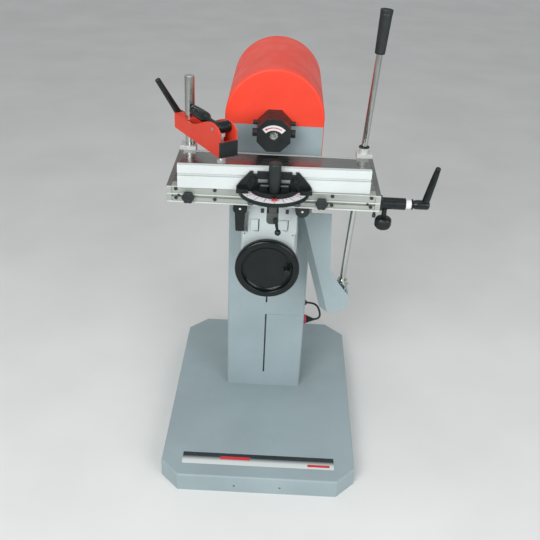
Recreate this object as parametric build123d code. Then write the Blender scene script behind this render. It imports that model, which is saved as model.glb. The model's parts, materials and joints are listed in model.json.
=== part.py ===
from build123d import *
import math
import os

# Slot mortiser. Millimetres, +Z up, front faces -Y.
# The origin is the middle of the base's underside, on the floor.

RUN = 0.05  # radial running clearance of shafts and slides
GAP = 0.3  # gap between pieces of different bodies

# Base
BASE_WIDTH = 548
BASE_DEPTH = 766
BASE_HEIGHT = 57
BASE_SHEET = 3
FRONT_CHAMFER = 52
REAR_CHAMFER = 60
BASE_EDGE_RADIUS = 5
FRONT_HOLE_RADIUS = 3
FRONT_HOLE_SPACING = 128
FRONT_HOLE_Z = 23
PAD_SIZE = 120
PAD_THICK = 4
RIB_THICK = 4

# Column
COLUMN_WIDTH = 233
COLUMN_FRONT = 22
COLUMN_DEPTH = 240
COLUMN_TOP = 815
COLUMN_SHEET = 3
COLUMN_CORNER_RADIUS = 8
COLUMN_BACK_FLANGE = 26
COLUMN_END_MARGIN = 14
SLOT_WIDTH = 5
LOWER_SLOT_BOTTOM = 109
LOWER_SLOT_TOP = 332
UPPER_SLOT_BOTTOM = 374
UPPER_SLOT_TOP = 470
SEAM_HEIGHT = 1
SEAM_DEPTH = 0.8
CHANNEL_HALF = 14
CHANNEL_DEPTH = 13
CHANNEL_WALL = 2
CHANNEL_BOTTOM = 95
CHANNEL_TOP = 485

# Flat ways on the column front
WAY_CENTRE = 45
WAY_HEAD_WIDTH = 30
WAY_NECK_WIDTH = 16
WAY_NECK_THICK = 8
WAY_HEAD_THICK = 12
WAY_BOTTOM = 440
WAY_TOP = COLUMN_TOP - 15

# Head
HEAD_WIDTH = 262
HEAD_BACK = 380
HEAD_SHEET = 2
HEAD_FRAME_SHEET = 4
HOOD_ARCH_RISE = 134
SPINDLE_RISE = 115.4
FACE_RISE = 117
FACE_GAP = 0.3
FRAME_GAP = 0.1
GRILLE_INSET = 4
HOOD_ARCH_Z = COLUMN_TOP + HOOD_ARCH_RISE
SPINDLE_Z = COLUMN_TOP + SPINDLE_RISE
FACE_BOTTOM = COLUMN_TOP + FACE_RISE
HOOD_EDGE_RADIUS = 6
NOSE_HOLE_RADIUS = 34
GRILLE_THICK = 2
GRILLE_SLOTS = 9
GRILLE_PITCH = 18
GRILLE_SLOT_HEIGHT = 7
GRILLE_FIRST = -56
GRILLE_MARGIN = 22
GRILLE_SWITCH_GAP = 12

# Motor
HOUSING_FRONT = 60
HOUSING_BACK = 300
HOUSING_RADIUS = 82
HOUSING_BORE = 72
HOUSING_END = 18
FIN_REACH = 8
FIN_THICK = 3
FIN_COUNT = 28
FIN_END_MARGIN = 25
FIN_ROOT = 2
FOOT_INNER = 34
FOOT_OUTER = 84
FOOT_FRONT = 95
FOOT_BACK = 265
FOOT_THICK = 12
LEG_X = 58
LEG_HALF = 6
LEG_DROP = 52
STATOR_BORE = 46
STATOR_FRONT = 105
STATOR_BACK = 245
WINDING_REACH = 20
WINDING_OUTER = 64
WINDING_INNER = 49
ROTOR_RADIUS = 45
SHAFT_RADIUS = 15
SHAFT_CLEARANCE = 2
JOURNAL_RADIUS = 12.5
NOSE_RADIUS = 11
BEARING_OUTER = 26
BEARING_WIDTH = 15
BALL_RADIUS = 3.2
BALL_COUNT = 8
BALL_TRACK = 19.5
RACE_GAP = 2
TRACK_GAP = 0.1
TAIL_RADIUS = 10.5
JOURNAL_LEAD = 10
FAN_FRONT = 306
FAN_WIDTH = 24
FAN_HUB_RADIUS = 20
FAN_RADIUS = 68
FAN_BLADES = 7
FAN_BLADE_THICK = 3
FAN_BLADE_ROOT = 4
FAN_BLADE_INSET = 1

# Chuck and its guard
CHUCK_FRONT = -46
CHUCK_BACK = 18
CHUCK_RADIUS = 25
CHUCK_TAPER = 4
CHUCK_NOSE_REACH = 26
CHUCK_SLOT_WIDTH = 10
CHUCK_SLOT_DEPTH = 14
JAW_INSET = 2
TOOL_RADIUS = 8
TOOL_DEPTH = 34
JAW_INNER = 8.1
JAW_OUTER = 21
GUARD_FRONT = -55.7
GUARD_FLATS = 86.8
GUARD_WALL = 3
GUARD_EDGE = 1
GUARD_HOLE_RADIUS = 11
GUARD_LUG_REACH = 12
GUARD_LUG_RADIUS = 10.5
GUARD_LUG_Y = -33
GUARD_LUG_BACK_RADIUS = 6
GUARD_LUG_BACK_Y = 5
GUARD_LUG_BACK_RISE = 13.6

# Knee
KNEE_HALF = 66
KNEE_FRONT = -205
KNEE_BOTTOM = 575
KNEE_TOP = 731
KNEE_WALL = 10
KNEE_TOP_WALL = 12
KNEE_BACK_WALL = 27
KNEE_CHEEK_OUT = 78
KEEPER_THICK = 7
KEEPER_GAP = 0.4
KNEE_CORNER = 4
KNEE_HOLE_DEPTH = 6
JOURNAL_COVER = 3
SCREW_SLOT_HALF = 18
SCREW_SLOT_TOP = 650
BOSS_RADIUS = 17
BOSS_BACK = -120
KNEE_HOLE_X = 60.5
KNEE_HOLE_DROP = 4.5
KNEE_HOLE_RADIUS = 2.2

# Lift drive
WHEEL_Z = 643.5
WHEEL_RADIUS = 82
WHEEL_RIM_WIDTH = 20
WHEEL_FACE = -242
WHEEL_RIM_DEPTH = 20
WHEEL_WEB_THICK = 5
WHEEL_WEB_FACE = -232
WHEEL_HUB_RADIUS = 20
WHEEL_HUB_BACK = -207
DRIVE_RADIUS = 8
DRIVE_BACK = -72
GEAR_PITCH = 24
GEAR_FACE = 12
GEAR_TEETH = 18
GEAR_BACK = 5
GEAR_GAP = 1
TOOTH_CUT_DEPTH = 3
TOOTH_CUT_WIDTH = 3.2
TOOTH_CUT_LENGTH = 60
THREAD_GROOVES = 8
THREAD_PITCH = 5
THREAD_LEAD = 4
THREAD_WIDTH = 2
THREAD_DEPTH = 1
GRIP_X = 50
GRIP_Z = WHEEL_Z + 2.5
GRIP_RADIUS = 7.5
GRIP_LENGTH = 22
GRIP_BOSS_STEP = 1.5
GRIP_EDGE = 1.5
GRIP_END_WALL = 3
GRIP_PIN_GAP = 2.5
RIM_ROUND = 6
HUB_SOCKET = 2
GRIP_PIN_RADIUS = 3
SCREW_Y = -60
SCREW_RADIUS = 10
SCREW_BOTTOM = 476
SCREW_JOURNAL = 7
NUT_BOTTOM = 500
NUT_TOP = 525
NUT_HALF = 15
NUT_FRONT = -76
NUT_PLATE_HALF = 26
NUT_PLATE_BOTTOM = 480
NUT_PLATE_TOP = 560
NUT_PLATE_THICK = 8

# Cross slide
SLIDE_X = 8
CROSS_WAY_HALF = 36
CROSS_WAY_HEAD_HALF = 46
CROSS_WAY_NECK_TOP = 768
CROSS_WAY_TOP = 784
CROSS_WAY_BACK = -20
CARRIAGE_HALF = 61
CARRIAGE_FRONT = -206
CARRIAGE_BACK = -62
CARRIAGE_BOTTOM = KNEE_TOP + GAP
CARRIAGE_TOP = 862
ROD_RADIUS = 8
ROD_FRONT_Y = -185
ROD_BACK_Y = -90
ROD_Z = 850
POCKET_X = (-17.7, 43.7)
POCKET_WIDTH = 8
POCKET_BOTTOM = 787
POCKET_TOP = 798
POCKET_DEPTH = 4
RIB_LINE_X = (-27.7, 44.4)
RIB_LINE_WIDTH = 1.6
RIB_LINE_DEPTH = 2
RIB_LINE_BOTTOM = 741
RIB_LINE_TOP = 772
RIB_HOOK = 8
LOCK_Z = 806
LOCK_LEFT_X = -72
LOCK_RIGHT_X = 79.5
LOCK_RADIUS = 17.4
LOCK_LUG_FRONT = -214
LOCK_LUG_RADIUS = 14
LOCK_LUG_INSET = 2
LOCK_EDGE = 3
LOCK_BAR_FRONT = 2
LOCK_BAR_BACK = 3
CARRIAGE_CORNER = 3
CARRIAGE_WALL = 14
ROD_HOUSING = 18
LOCK_LUG_BACK = -190
LOCK_HEAD_THICK = 16
LOCK_BAR_HALF_TOP = 13.5
LOCK_BAR_HALF_BOTTOM = 10.5
LOCK_BAR_BOTTOM = 744
LOCK_BOLT_RADIUS = 4

# Table
TABLE_LENGTH = 500
TABLE_LEFT = SLIDE_X - TABLE_LENGTH / 2
TABLE_RIGHT = SLIDE_X + TABLE_LENGTH / 2
TABLE_FRONT = -277
TABLE_BACK = -48
TABLE_TOP = 879
TOP_THICK = 8
RAIL_THICK = 12
UPPER_BAND_START = 23
UPPER_BAND_MARGIN = 2
LOWER_BAND_START = 4
LOWER_BAND_END = 19
ROD_SOCKET = 6
BLOCK_EDGE = 1
RAIL_HEIGHT = 41
RAIL_RECESS = 2
RAIL_LEDGE = 27
RAIL_GROOVE_Z = 854.5
RAIL_GROOVE_WIDTH = 6
RAIL_GROOVE_DEPTH = 7
END_THICK = 12
RAIL_PAIR_REACH = (137, TABLE_LENGTH / 2 - 22)
RAIL_PAIR_UPPER = 872.4
RAIL_PAIR_LOWER = 849.5
BOLT_HEAD_RADIUS = 4.2
BOLT_HEAD_THICK = 3.2
BOLT_EDGE = 0.6
BOLT_HEX_RADIUS = 2.2
BOLT_HEX_DEPTH = 1.8
SIDE_SCREW_LEFT = (-60, -211)
SIDE_SCREW_RIGHT = (-114, -211)
SIDE_SCREW_Z = 866

# Fence and mitre gauge
FENCE_LENGTH = 447
FENCE_HEIGHT = 56.5
FENCE_THICK = 12
FENCE_FACE = -276
FENCE_GROOVE_Z = 912
FENCE_GROOVE_WIDTH = 7
FENCE_GROOVE_DEPTH = 6
FENCE_REST_ANGLE = 2.1
PIVOT_Y = -264
DIAL_RADIUS = 83
DIAL_INNER = 57.5
DIAL_BOTTOM = 870
DIAL_TOP = 878.6
DIAL_FLOOR = 4
DIAL_RIB_OUTER = 49.5
DIAL_RIB_INNER = 46
DIAL_RIB_RISE = 4
DIAL_LUG_ANGLE = 41
DIAL_LUG_CENTRE = 80
DIAL_LUG_RADIUS = 8
DIAL_LUG_DROP = 4
SWING_BOTTOM = 879.3
SWING_END_TOP = 889
SWING_MIDDLE = 900
SWING_TOP = 927.5
SWING_HALF_BOTTOM = 87.5
SWING_HALF_MIDDLE = 80
SWING_HALF_TOP = 56
SWING_THICK = 7
SWING_NOTCH_X = 44.5
SWING_NOTCH_HALF = 4.5
SWING_NOTCH_DEPTH = 7
SWING_SHELF_HALF = 34
SWING_SHELF_REACH = 11
SWING_SHELF_TOP = 899
SWING_PLATE = 6.7
SWING_PLATE_RADIUS = 56.5
SWING_LIP = 4.5
SWING_LIP_RISE = 3
SWING_EAR_INNER = 60
SWING_EAR_REACH = 15
TONGUE_SLOPE = 1.19
POINTER_START = 50
POINTER_REACH = 66
POINTER_THICK = 3
POINTER_ROOT_HALF = 3.5
POINTER_TIP_HALF = 1
HANDLE_ROUND = 5
FENCE_TOP_WALL = 4
FENCE_TOP_GROOVE = 6
HANDLE_OFFSET = 30
HANDLE_RADIUS = 14.5
HANDLE_NECK = 12
HANDLE_NECK_TOP = 918
HANDLE_TOP = 956
HANDLE_CLEARANCE = 1
HANDLE_STUD_RADIUS = 5
HANDLE_FOOT_RADIUS = 9
BRACKET_HALF = 14
BRACKET_BOTTOM = 806
BRACKET_BLOCK_TOP = 834
BRACKET_PLATE = 6
BRACKET_SKIRT = 6
BRACKET_ROUND = 9
BRACKET_RIB_HALF = 9
BRACKET_RIB_SET = 2
BALL_SHIFT = 6
BALL_HUB_RADIUS = 6
BALL_HUB_LENGTH = 9
BALL_PIN_RADIUS = 3
BALL_PIN_LENGTH = 16
BALL_ARM_SET = 5
BALL_SET = 8
BALL_ARM_ROOT = 4
BALL_ARM_TIP = 3
BRACKET_FRONT = -304
BALL_LEVER_X = 22
BALL_LEVER_Z = 812
BALL_END_Z = 789
BALL_END_RADIUS = 7.5
STAR_X = (-191, 121)
STAR_Z = RAIL_GROOVE_Z
STAR_RADIUS = 15
STAR_THICK = 12
STAR_LOBES = 6
STAR_FLUTE_RADIUS = 4.5
STAR_FLUTE_OFFSET = 2
STAR_EDGE = 2
STAR_BACK_STEP = 3
STAR_HUB_RADIUS = 8
STAR_STUD_RADIUS = 2.4
STAR_STUD_GAP = 0.5

# Side stop
STOP_Y = -262
STOP_Z = 855
STOP_PLATE_THICK = 6
STOP_BODY_RADIUS = 14
STOP_BODY_END = TABLE_RIGHT + 60
STOP_PLATE_TOP = 869
STOP_ROD_RADIUS = 7
STOP_COLLAR_RADIUS = 11
STOP_COLLAR_LENGTH = 14
STOP_LEVER_HUB = 11
STOP_ARM_ROOT = 8.5
STOP_ARM_TIP = 5.5
STOP_LEVER_REACH = 117
STOP_TIP_REACH = 124
STOP_LEVER_END = TABLE_RIGHT + STOP_LEVER_REACH
STOP_TIP_X = TABLE_RIGHT + STOP_TIP_REACH
STOP_FLANGE_THICK = 3
STOP_FLANGE_STEP = 2
STOP_LEVER_ROUND = 6
STOP_ARM_RISE = 4
STOP_ROD_END = 8
STOP_NECK_RADIUS = 6
STOP_STUD_RADIUS = 4
STOP_STUD_DEPTH = 7
STOP_PLATE_RISE = 4
STOP_ROD_START = 1
STOP_COLLAR_EDGE = 1
STOP_STUD_GAP = 1
STOP_FLUTES = 8
STOP_FLUTE_RADIUS = 4.2
STOP_FLUTE_OFFSET = 3
STOP_TIP_Z = 948
STOP_KNOB_X = TABLE_RIGHT + 13.5
STOP_KNOB_RADIUS = 20
STOP_KNOB_TOP = 814
STOP_KNOB_BOTTOM = 789
STOP_KNOB_ROUND = 8

# Clamp
POST_X = TABLE_LEFT + 26
POST_Y = -29
POST_RADIUS = 12.5
POST_TOP = 1068
POST_BOTTOM = 847
BLOCK_WIDTH = 40
BLOCK_INSET = 21.5
POST_BLOCK_BACK = -8
POST_BLOCK_BOTTOM = 843
BLOCK_TOP = 889
ARM_ANGLE = -56
ARM_BACK = -40.2
ARM_REACH = 198
ARM_CAP = 4
ARM_WIDTH = 49.2
ARM_SIDE = 4.5
ARM_BOTTOM = 924.3
ARM_TOP = 962.7
ARM_BLOCK_END = 22
ARM_WEB = 5
ARM_BOSS_RADIUS = 13
ARM_BOSS_HEIGHT = 24
EAR_RISE = 37
EAR_FRONT_LENGTH = 42
EAR_BACK_LENGTH = 125
EAR_STEPS = 8
FOOT_INSET = 33
FOOT_REACH = ARM_REACH - FOOT_INSET
FOOT_ROD_RADIUS = 5.5
FOOT_HEAD_RADIUS = 9
FOOT_HEAD_THICK = 9
FOOT_PAD_RADIUS = 11
FOOT_PAD_BOTTOM = 898.5
FOOT_PAD_TOP = 906
CAM_Z = 986
CAM_RADIUS = 14
CAM_OFFSET = 3.25
CAM_OFFSET_ANGLE = 45
CAM_WIDTH = 38
CAM_PIN_RADIUS = 5
CAM_NECK_RADIUS = 6.5
CAM_GRIP_RADIUS = 14
CAM_GRIP_START = 95
CAM_GRIP_END = 17
LOCK_HUB_RADIUS = 9
LOCK_HUB_LENGTH = 16
LOCK_HUB_Z = 954
LOCK_ARM = (11.4, -56.1, 92)
ARM_SCREW_RADIUS = 5
ARM_SCREW_GAP = 1
LOCK_HUB_ROUND = 3
ARM_SPLIT_WALL = 3
ARM_NOSE = 3
ARM_CAP_EDGE = 1.5
POST_EDGE = 1.5
CAM_PIN_STICK = 2
CAM_GRIP_ROUND = 8
FOOT_HEAD_OVERLAP = 2
LOCK_ARM_ROOT = 7.5
LOCK_ARM_TIP = 5.8

# Joystick
LEVER_X = TABLE_RIGHT - 23
LEVER_Y = -31
LEVER_LEAN = 0.0512
WAIST_Z = 899
PIVOT_Z = 480
LEVER_PIVOT_X = LEVER_X - LEVER_LEAN * (WAIST_Z - PIVOT_Z)
LEVER_RADIUS = 8
WAIST_RADIUS = 9.4
BORE_FLARE = 0.235
GUIDE_BACK = -12
GUIDE_BOTTOM = 873
GUIDE_BOSS_RADIUS = 12
GUIDE_BOSS_TOP = 902
GUIDE_RING_TOP = 905
GUIDE_RING_RADIUS = 13
GRIP_BOTTOM_Z = 1143
GRIP_TOP_Z = 1248
GRIP_BASE_RADIUS = 13
GRIP_HEAD_RADIUS = 15.5
CROSS_HALF = 8
FORK_BASE = 13
ROD_START = 15
FORK_TOP = 22
ROD_EDGE = 1
GRIP_DEPTH = 70
GRIP_NECK = 14
GRIP_NECK_STEP = 2.5
GRIP_HEAD_ROUND = 8
CROSS_PIN_RADIUS = 4
CROSS_PIN_REACH = 21
FORK_OUTER = 14
FORK_TINE = 5
FORK_RADIUS = 9
LUG_INNER = 14.5
LUG_THICK = 6

# Folded lever arm
PLATE_Y = -60
ARM_SHEET = 3
FOLD_TOP = (89, 720)
FOLD_BOTTOM = (LEVER_PIVOT_X - 36, 405)
PLATE_CORNER = ((2, 410), (14, 418), (21, 430))
PLATE_RIGHT = ((23, 446), (22, 462), (-14, 508), (-37, 545), (-41, 600), (-48, 720))
FLANGE_SHIFT = (-22, 28)
SHELF_Z = 449
SHELF_HALF = 22
SHELF_BACK = -8
SHELF_OVERHANG = 10
LUG_RADIUS = 9
FOOT_PLATE_BOTTOM = 655
FOOT_PLATE_BACK = -32

# Switch
SWITCH_X = -60
SWITCH_Z = 905
SWITCH_WIDTH = 70
SWITCH_HEIGHT = 90
SWITCH_DEPTH = 38
SWITCH_KNOB_RADIUS = 14
SWITCH_KNOB_LENGTH = 16
SWITCH_EDGE = 4
SWITCH_STEM_RADIUS = 4
SWITCH_STEM_DEPTH = 5
SWITCH_SOCKET_DEPTH = 6
SWITCH_DISC_TOP = 6
SWITCH_BAR_HALF = 3.5

# Power lead
CORD_RADIUS = 3.2
GLAND_Y = 190
GLAND_Z = 272
GLAND_REACH = 14
GLAND_NUT = 8
GLAND_WALL = 4
GLAND_DEPTH = 8
GLAND_HEX_RADIUS = 12
GLAND_CAP_ROOT = 10
GLAND_CAP_TIP = 6
PLUG_Y = 106
PLUG_Z = 264
PLUG_RADIUS = 15
PLUG_BODY_LENGTH = 7
PLUG_BOOT_LENGTH = 17
PLUG_BOOT_RADIUS = 12
PLUG_PIN_RADIUS = 2.5
PLUG_PIN_LENGTH = 18
PLUG_PIN_CIRCLE = 8
PLUG_PINS = 4
PLUG_EDGE = 2
PLUG_BOOT_WALL = 1.5
CORD_ROUTE = (
    (130.5, 190, 272),
    (150, 190, 272),
    (165.5, 175.5, 270.6),
    (172.5, 147, 267.9),
    (172.5, 119.5, 265.3),
    (158.5, 106, 264),
    (140.5, 106, 264),
)

COLUMN_BACK = COLUMN_FRONT + COLUMN_DEPTH
COLUMN_SIDE = COLUMN_WIDTH / 2
HEAD_SIDE = HEAD_WIDTH / 2
RAIL_BOTTOM = TABLE_TOP - RAIL_HEIGHT


def block(x0, x1, y0, y1, z0, z1):
    """A box between two corners."""
    return Pos(x0, y0, z0) * Box(x1 - x0, y1 - y0, z1 - z0, align=(Align.MIN,) * 3)


def rod_x(x0, x1, y, z, r):
    """A round bar along X."""
    bar = Cylinder(r, x1 - x0, align=(Align.CENTER, Align.CENTER, Align.MIN))
    return Pos(x0, y, z) * Rot(0, 90, 0) * bar


def rod_y(y0, y1, x, z, r):
    """A round bar along Y."""
    bar = Cylinder(r, y1 - y0, align=(Align.CENTER, Align.CENTER, Align.MIN))
    return Pos(x, y0, z) * Rot(-90, 0, 0) * bar


def rod_z(z0, z1, x, y, r):
    """A round bar along Z."""
    return Pos(x, y, z0) * Cylinder(r, z1 - z0, align=(Align.CENTER, Align.CENTER, Align.MIN))


def taper_y(y0, y1, x, z, r0, r1):
    """A round taper along Y, with radius r0 at y0 and r1 at y1."""
    cone = Cone(r0, r1, y1 - y0, align=(Align.CENTER, Align.CENTER, Align.MIN))
    return Pos(x, y0, z) * Rot(-90, 0, 0) * cone


def taper_z(z0, z1, x, y, r0, r1):
    """A round taper along Z, with radius r0 at z0 and r1 at z1."""
    return Pos(x, y, z0) * Cone(r0, r1, z1 - z0, align=(Align.CENTER, Align.CENTER, Align.MIN))


def slab_xy(points, z0, z1):
    """A plate with the outline points seen from above."""
    face = make_face(Polyline(*[(x, y, z0) for x, y in points], close=True))
    return extrude(face, z1 - z0, dir=(0, 0, 1))


def slab_xz(points, y0, y1):
    """A plate with the outline points seen from the front."""
    face = make_face(Polyline(*[(x, y0, z) for x, z in points], close=True))
    return extrude(face, y1 - y0, dir=(0, 1, 0))


def bar_between(a, b, r0, r1):
    """A round bar from point a to point b, with radius r0 at a and r1 at b."""
    a = Vector(*a)
    b = Vector(*b)
    plane = Plane(origin=a, z_dir=b - a)
    cone = Cone(r0, r1, (b - a).length, align=(Align.CENTER, Align.CENTER, Align.MIN))
    return plane * cone


def base_outline(inset):
    """The base's eight-sided outline, drawn in by inset."""
    w = BASE_WIDTH / 2 - inset
    d = BASE_DEPTH / 2 - inset
    cut = inset * (2 - math.sqrt(2))
    f = FRONT_CHAMFER - cut
    r = REAR_CHAMFER - cut
    front = [(-w + f, -d), (w - f, -d), (w, -d + f)]
    back = [(w, d - r), (w - r, d), (-w + r, d), (-w, d - r)]
    return front + back + [(-w, -d + f)]


def base_tray():
    """Folded tray, open below, with two cross ribs and a floor pad."""
    tray = slab_xy(base_outline(0), 0, BASE_HEIGHT)
    top_edges = tray.faces().sort_by(Axis.Z)[-1].edges()
    tray = fillet(top_edges, BASE_EDGE_RADIUS)
    tray -= slab_xy(base_outline(BASE_SHEET), 0, BASE_HEIGHT - BASE_SHEET)
    for side in (-1, 1):
        x = side * FRONT_HOLE_SPACING / 2
        y0 = -BASE_DEPTH / 2
        tray -= rod_y(y0 - 1, y0 + BASE_SHEET + 1, x, FRONT_HOLE_Z, FRONT_HOLE_RADIUS)
    w = BASE_WIDTH / 2 - BASE_SHEET / 2
    d = BASE_DEPTH / 2 - BASE_SHEET / 2
    half = RIB_THICK / 2
    tray += block(-w, w, -half, half, 0, BASE_HEIGHT - BASE_SHEET)
    tray += block(-half, half, -d, d, 0, BASE_HEIGHT - BASE_SHEET)
    pad = PAD_SIZE / 2
    tray += block(-pad, pad, -pad, pad, 0, PAD_THICK)
    return tray


def column_shell():
    """Folded column, open at the back, with two front slots, the channel behind them and a seam."""
    s = COLUMN_SIDE
    t = COLUMN_SHEET
    body = block(-s, s, COLUMN_FRONT, COLUMN_BACK, BASE_HEIGHT, COLUMN_TOP)
    corners = body.edges().filter_by(Axis.Z).group_by(Axis.Y)[0]
    body = fillet(corners, COLUMN_CORNER_RADIUS)
    y0 = COLUMN_FRONT + t
    y1 = COLUMN_BACK - t
    body -= block(-s + t, s - t, y0, y1, BASE_HEIGHT + t, COLUMN_TOP - t)
    opening = s - COLUMN_BACK_FLANGE
    z0 = BASE_HEIGHT + COLUMN_END_MARGIN
    body -= block(-opening, opening, y1 - 1, COLUMN_BACK + 1, z0, COLUMN_TOP - COLUMN_END_MARGIN)
    c = CHANNEL_HALF
    w = CHANNEL_WALL
    channel = block(-c, c, y0 - 1, y0 + CHANNEL_DEPTH, CHANNEL_BOTTOM, CHANNEL_TOP)
    body += channel - block(-c + w, c - w, y0, y0 + CHANNEL_DEPTH - w, CHANNEL_BOTTOM + w, CHANNEL_TOP - w)
    half = SLOT_WIDTH / 2
    for low, high in ((LOWER_SLOT_BOTTOM, LOWER_SLOT_TOP), (UPPER_SLOT_BOTTOM, UPPER_SLOT_TOP)):
        body -= block(-half, half, COLUMN_FRONT - 1, y0 + 1, low + half, high - half)
        body -= rod_y(COLUMN_FRONT - 1, y0 + 1, 0, low + half, half)
        body -= rod_y(COLUMN_FRONT - 1, y0 + 1, 0, high - half, half)
    seam = LOWER_SLOT_TOP + SEAM_HEIGHT
    body -= block(0, s + 1, COLUMN_FRONT - 1, COLUMN_FRONT + SEAM_DEPTH, LOWER_SLOT_TOP, seam)
    body -= rod_x(s - t - 1, s + 1, GLAND_Y, GLAND_Z, CORD_RADIUS + GLAND_WALL)
    body -= rod_x(s - t - 1, s + 1, PLUG_Y, PLUG_Z, PLUG_PIN_CIRCLE + PLUG_PIN_RADIUS + 1)
    return body


def column_ways():
    """Two ground ways, each a wide head on a narrower neck."""
    ways = []
    for side in (-1, 1):
        x = side * WAY_CENTRE
        neck = WAY_NECK_WIDTH / 2
        head = WAY_HEAD_WIDTH / 2
        y = COLUMN_FRONT - WAY_NECK_THICK
        way = block(x - neck, x + neck, y, COLUMN_FRONT, WAY_BOTTOM, WAY_TOP)
        way += block(x - head, x + head, y - WAY_HEAD_THICK, y, WAY_BOTTOM, WAY_TOP)
        ways.append(way)
    return Compound(children=ways)


def lift_nut():
    """Cast nut arm on the column front that the lift screw runs in."""
    y = COLUMN_FRONT - NUT_PLATE_THICK
    nut = block(-NUT_PLATE_HALF, NUT_PLATE_HALF, y, COLUMN_FRONT, NUT_PLATE_BOTTOM, NUT_PLATE_TOP)
    nut += block(-NUT_HALF, NUT_HALF, SCREW_Y, y + 1, NUT_BOTTOM, NUT_TOP)
    nut += rod_z(NUT_BOTTOM, NUT_TOP, 0, SCREW_Y, SCREW_Y - NUT_FRONT)
    nut -= rod_z(NUT_BOTTOM - 1, NUT_TOP + 1, 0, SCREW_Y, SCREW_RADIUS + RUN)
    return nut


def head_frame():
    """Grey floor and front plate of the head, welded into one."""
    inner = HEAD_SIDE - HEAD_SHEET - FRAME_GAP
    t = HEAD_FRAME_SHEET
    frame = block(-inner, inner, COLUMN_FRONT, HEAD_BACK - GRILLE_INSET, COLUMN_TOP, COLUMN_TOP + t)
    plate_top = FACE_BOTTOM - FACE_GAP
    frame += block(-inner, inner, COLUMN_FRONT, COLUMN_FRONT + t, COLUMN_TOP, plate_top)
    frame -= rod_y(COLUMN_FRONT - 1, COLUMN_FRONT + t + 1, 0, SPINDLE_Z, NOSE_HOLE_RADIUS)
    return frame


def arch(half, z_bottom, y0, y1):
    """A solid with straight sides and a round top about the hood's centre line."""
    body = block(-half, half, y0, y1, z_bottom, HOOD_ARCH_Z)
    return body + rod_y(y0, y1, 0, HOOD_ARCH_Z, half)


def hood():
    """Round-topped sheet hood with a half-disc front face."""
    body = arch(HEAD_SIDE, COLUMN_TOP, COLUMN_FRONT, HEAD_BACK)
    front = body.faces().sort_by(Axis.Y)[0]
    rim = [e for e in front.edges() if e.center().Z > HOOD_ARCH_Z]
    body = fillet(rim, HOOD_EDGE_RADIUS)
    inner = HEAD_SIDE - HEAD_SHEET
    body -= arch(inner, COLUMN_TOP - 1, COLUMN_FRONT + HEAD_SHEET, HEAD_BACK + 1)
    body -= block(-inner, inner, COLUMN_FRONT - 1, COLUMN_FRONT + HEAD_SHEET + 1, COLUMN_TOP - 1, FACE_BOTTOM)
    body -= rod_y(COLUMN_FRONT - 1, COLUMN_FRONT + HEAD_SHEET + 1, 0, SPINDLE_Z, NOSE_HOLE_RADIUS)
    return body


def hood_grille():
    """Rear plate of the head with air slots."""
    inner = HEAD_SIDE - HEAD_SHEET
    y0 = HEAD_BACK - GRILLE_INSET
    body = arch(inner, COLUMN_TOP, y0, y0 + GRILLE_THICK)
    for n in range(GRILLE_SLOTS):
        z = HOOD_ARCH_Z + GRILLE_FIRST + n * GRILLE_PITCH
        reach = math.sqrt((inner - GRILLE_MARGIN) ** 2 - max(0, z - HOOD_ARCH_Z) ** 2)
        left = -reach
        if z < SWITCH_Z + SWITCH_HEIGHT / 2 + GRILLE_SLOT_HEIGHT:
            left = SWITCH_X + SWITCH_WIDTH / 2 + GRILLE_SWITCH_GAP
        body -= block(left, reach, y0 - 1, y0 + GRILLE_THICK + 1, z, z + GRILLE_SLOT_HEIGHT)
    return body


def motor_housing():
    """Finned motor housing with both end shields and its feet."""
    length = HOUSING_BACK - HOUSING_FRONT
    body = rod_y(HOUSING_FRONT, HOUSING_BACK, 0, SPINDLE_Z, HOUSING_RADIUS)
    fins = []
    for n in range(FIN_COUNT):
        fin = Pos(HOUSING_RADIUS - FIN_ROOT, 0, 0)
        fin *= Box(2 * (FIN_REACH + FIN_ROOT), length - 2 * FIN_END_MARGIN, FIN_THICK)
        turn = Pos(0, HOUSING_FRONT + length / 2, SPINDLE_Z) * Rot(0, n * 360 / FIN_COUNT, 0)
        fins.append(turn * fin)
    body = body.fuse(*fins)
    floor = COLUMN_TOP + HEAD_FRAME_SHEET
    for side in (-1, 1):
        x0 = min(side * FOOT_INNER, side * FOOT_OUTER)
        foot = block(x0, x0 + FOOT_OUTER - FOOT_INNER, FOOT_FRONT, FOOT_BACK, floor, floor + FOOT_THICK)
        x1 = side * LEG_X - LEG_HALF
        leg = block(x1, x1 + 2 * LEG_HALF, FOOT_FRONT, FOOT_BACK, floor, SPINDLE_Z - LEG_DROP)
        body += foot + leg
    body -= rod_y(HOUSING_FRONT + HOUSING_END, HOUSING_BACK - HOUSING_END, 0, SPINDLE_Z, HOUSING_BORE)
    body -= rod_y(HOUSING_FRONT - 1, HOUSING_BACK + 1, 0, SPINDLE_Z, SHAFT_RADIUS + SHAFT_CLEARANCE)
    for y in bearing_fronts():
        body -= rod_y(y, y + BEARING_WIDTH, 0, SPINDLE_Z, BEARING_OUTER)
    return body


def bearing_fronts():
    """Where each bearing starts along Y."""
    front = HOUSING_FRONT + HOUSING_END - BEARING_WIDTH
    return front, HOUSING_BACK - HOUSING_END


def stator():
    """Laminated stator ring with its winding heads."""
    body = rod_y(STATOR_FRONT, STATOR_BACK, 0, SPINDLE_Z, HOUSING_BORE)
    winding_front = STATOR_FRONT - WINDING_REACH
    winding_back = STATOR_BACK + WINDING_REACH
    body += rod_y(winding_front, winding_back, 0, SPINDLE_Z, WINDING_OUTER)
    body -= rod_y(winding_front - 1, STATOR_FRONT, 0, SPINDLE_Z, WINDING_INNER)
    body -= rod_y(STATOR_BACK, winding_back + 1, 0, SPINDLE_Z, WINDING_INNER)
    body -= rod_y(STATOR_FRONT - 1, STATOR_BACK + 1, 0, SPINDLE_Z, STATOR_BORE)
    return body


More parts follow.
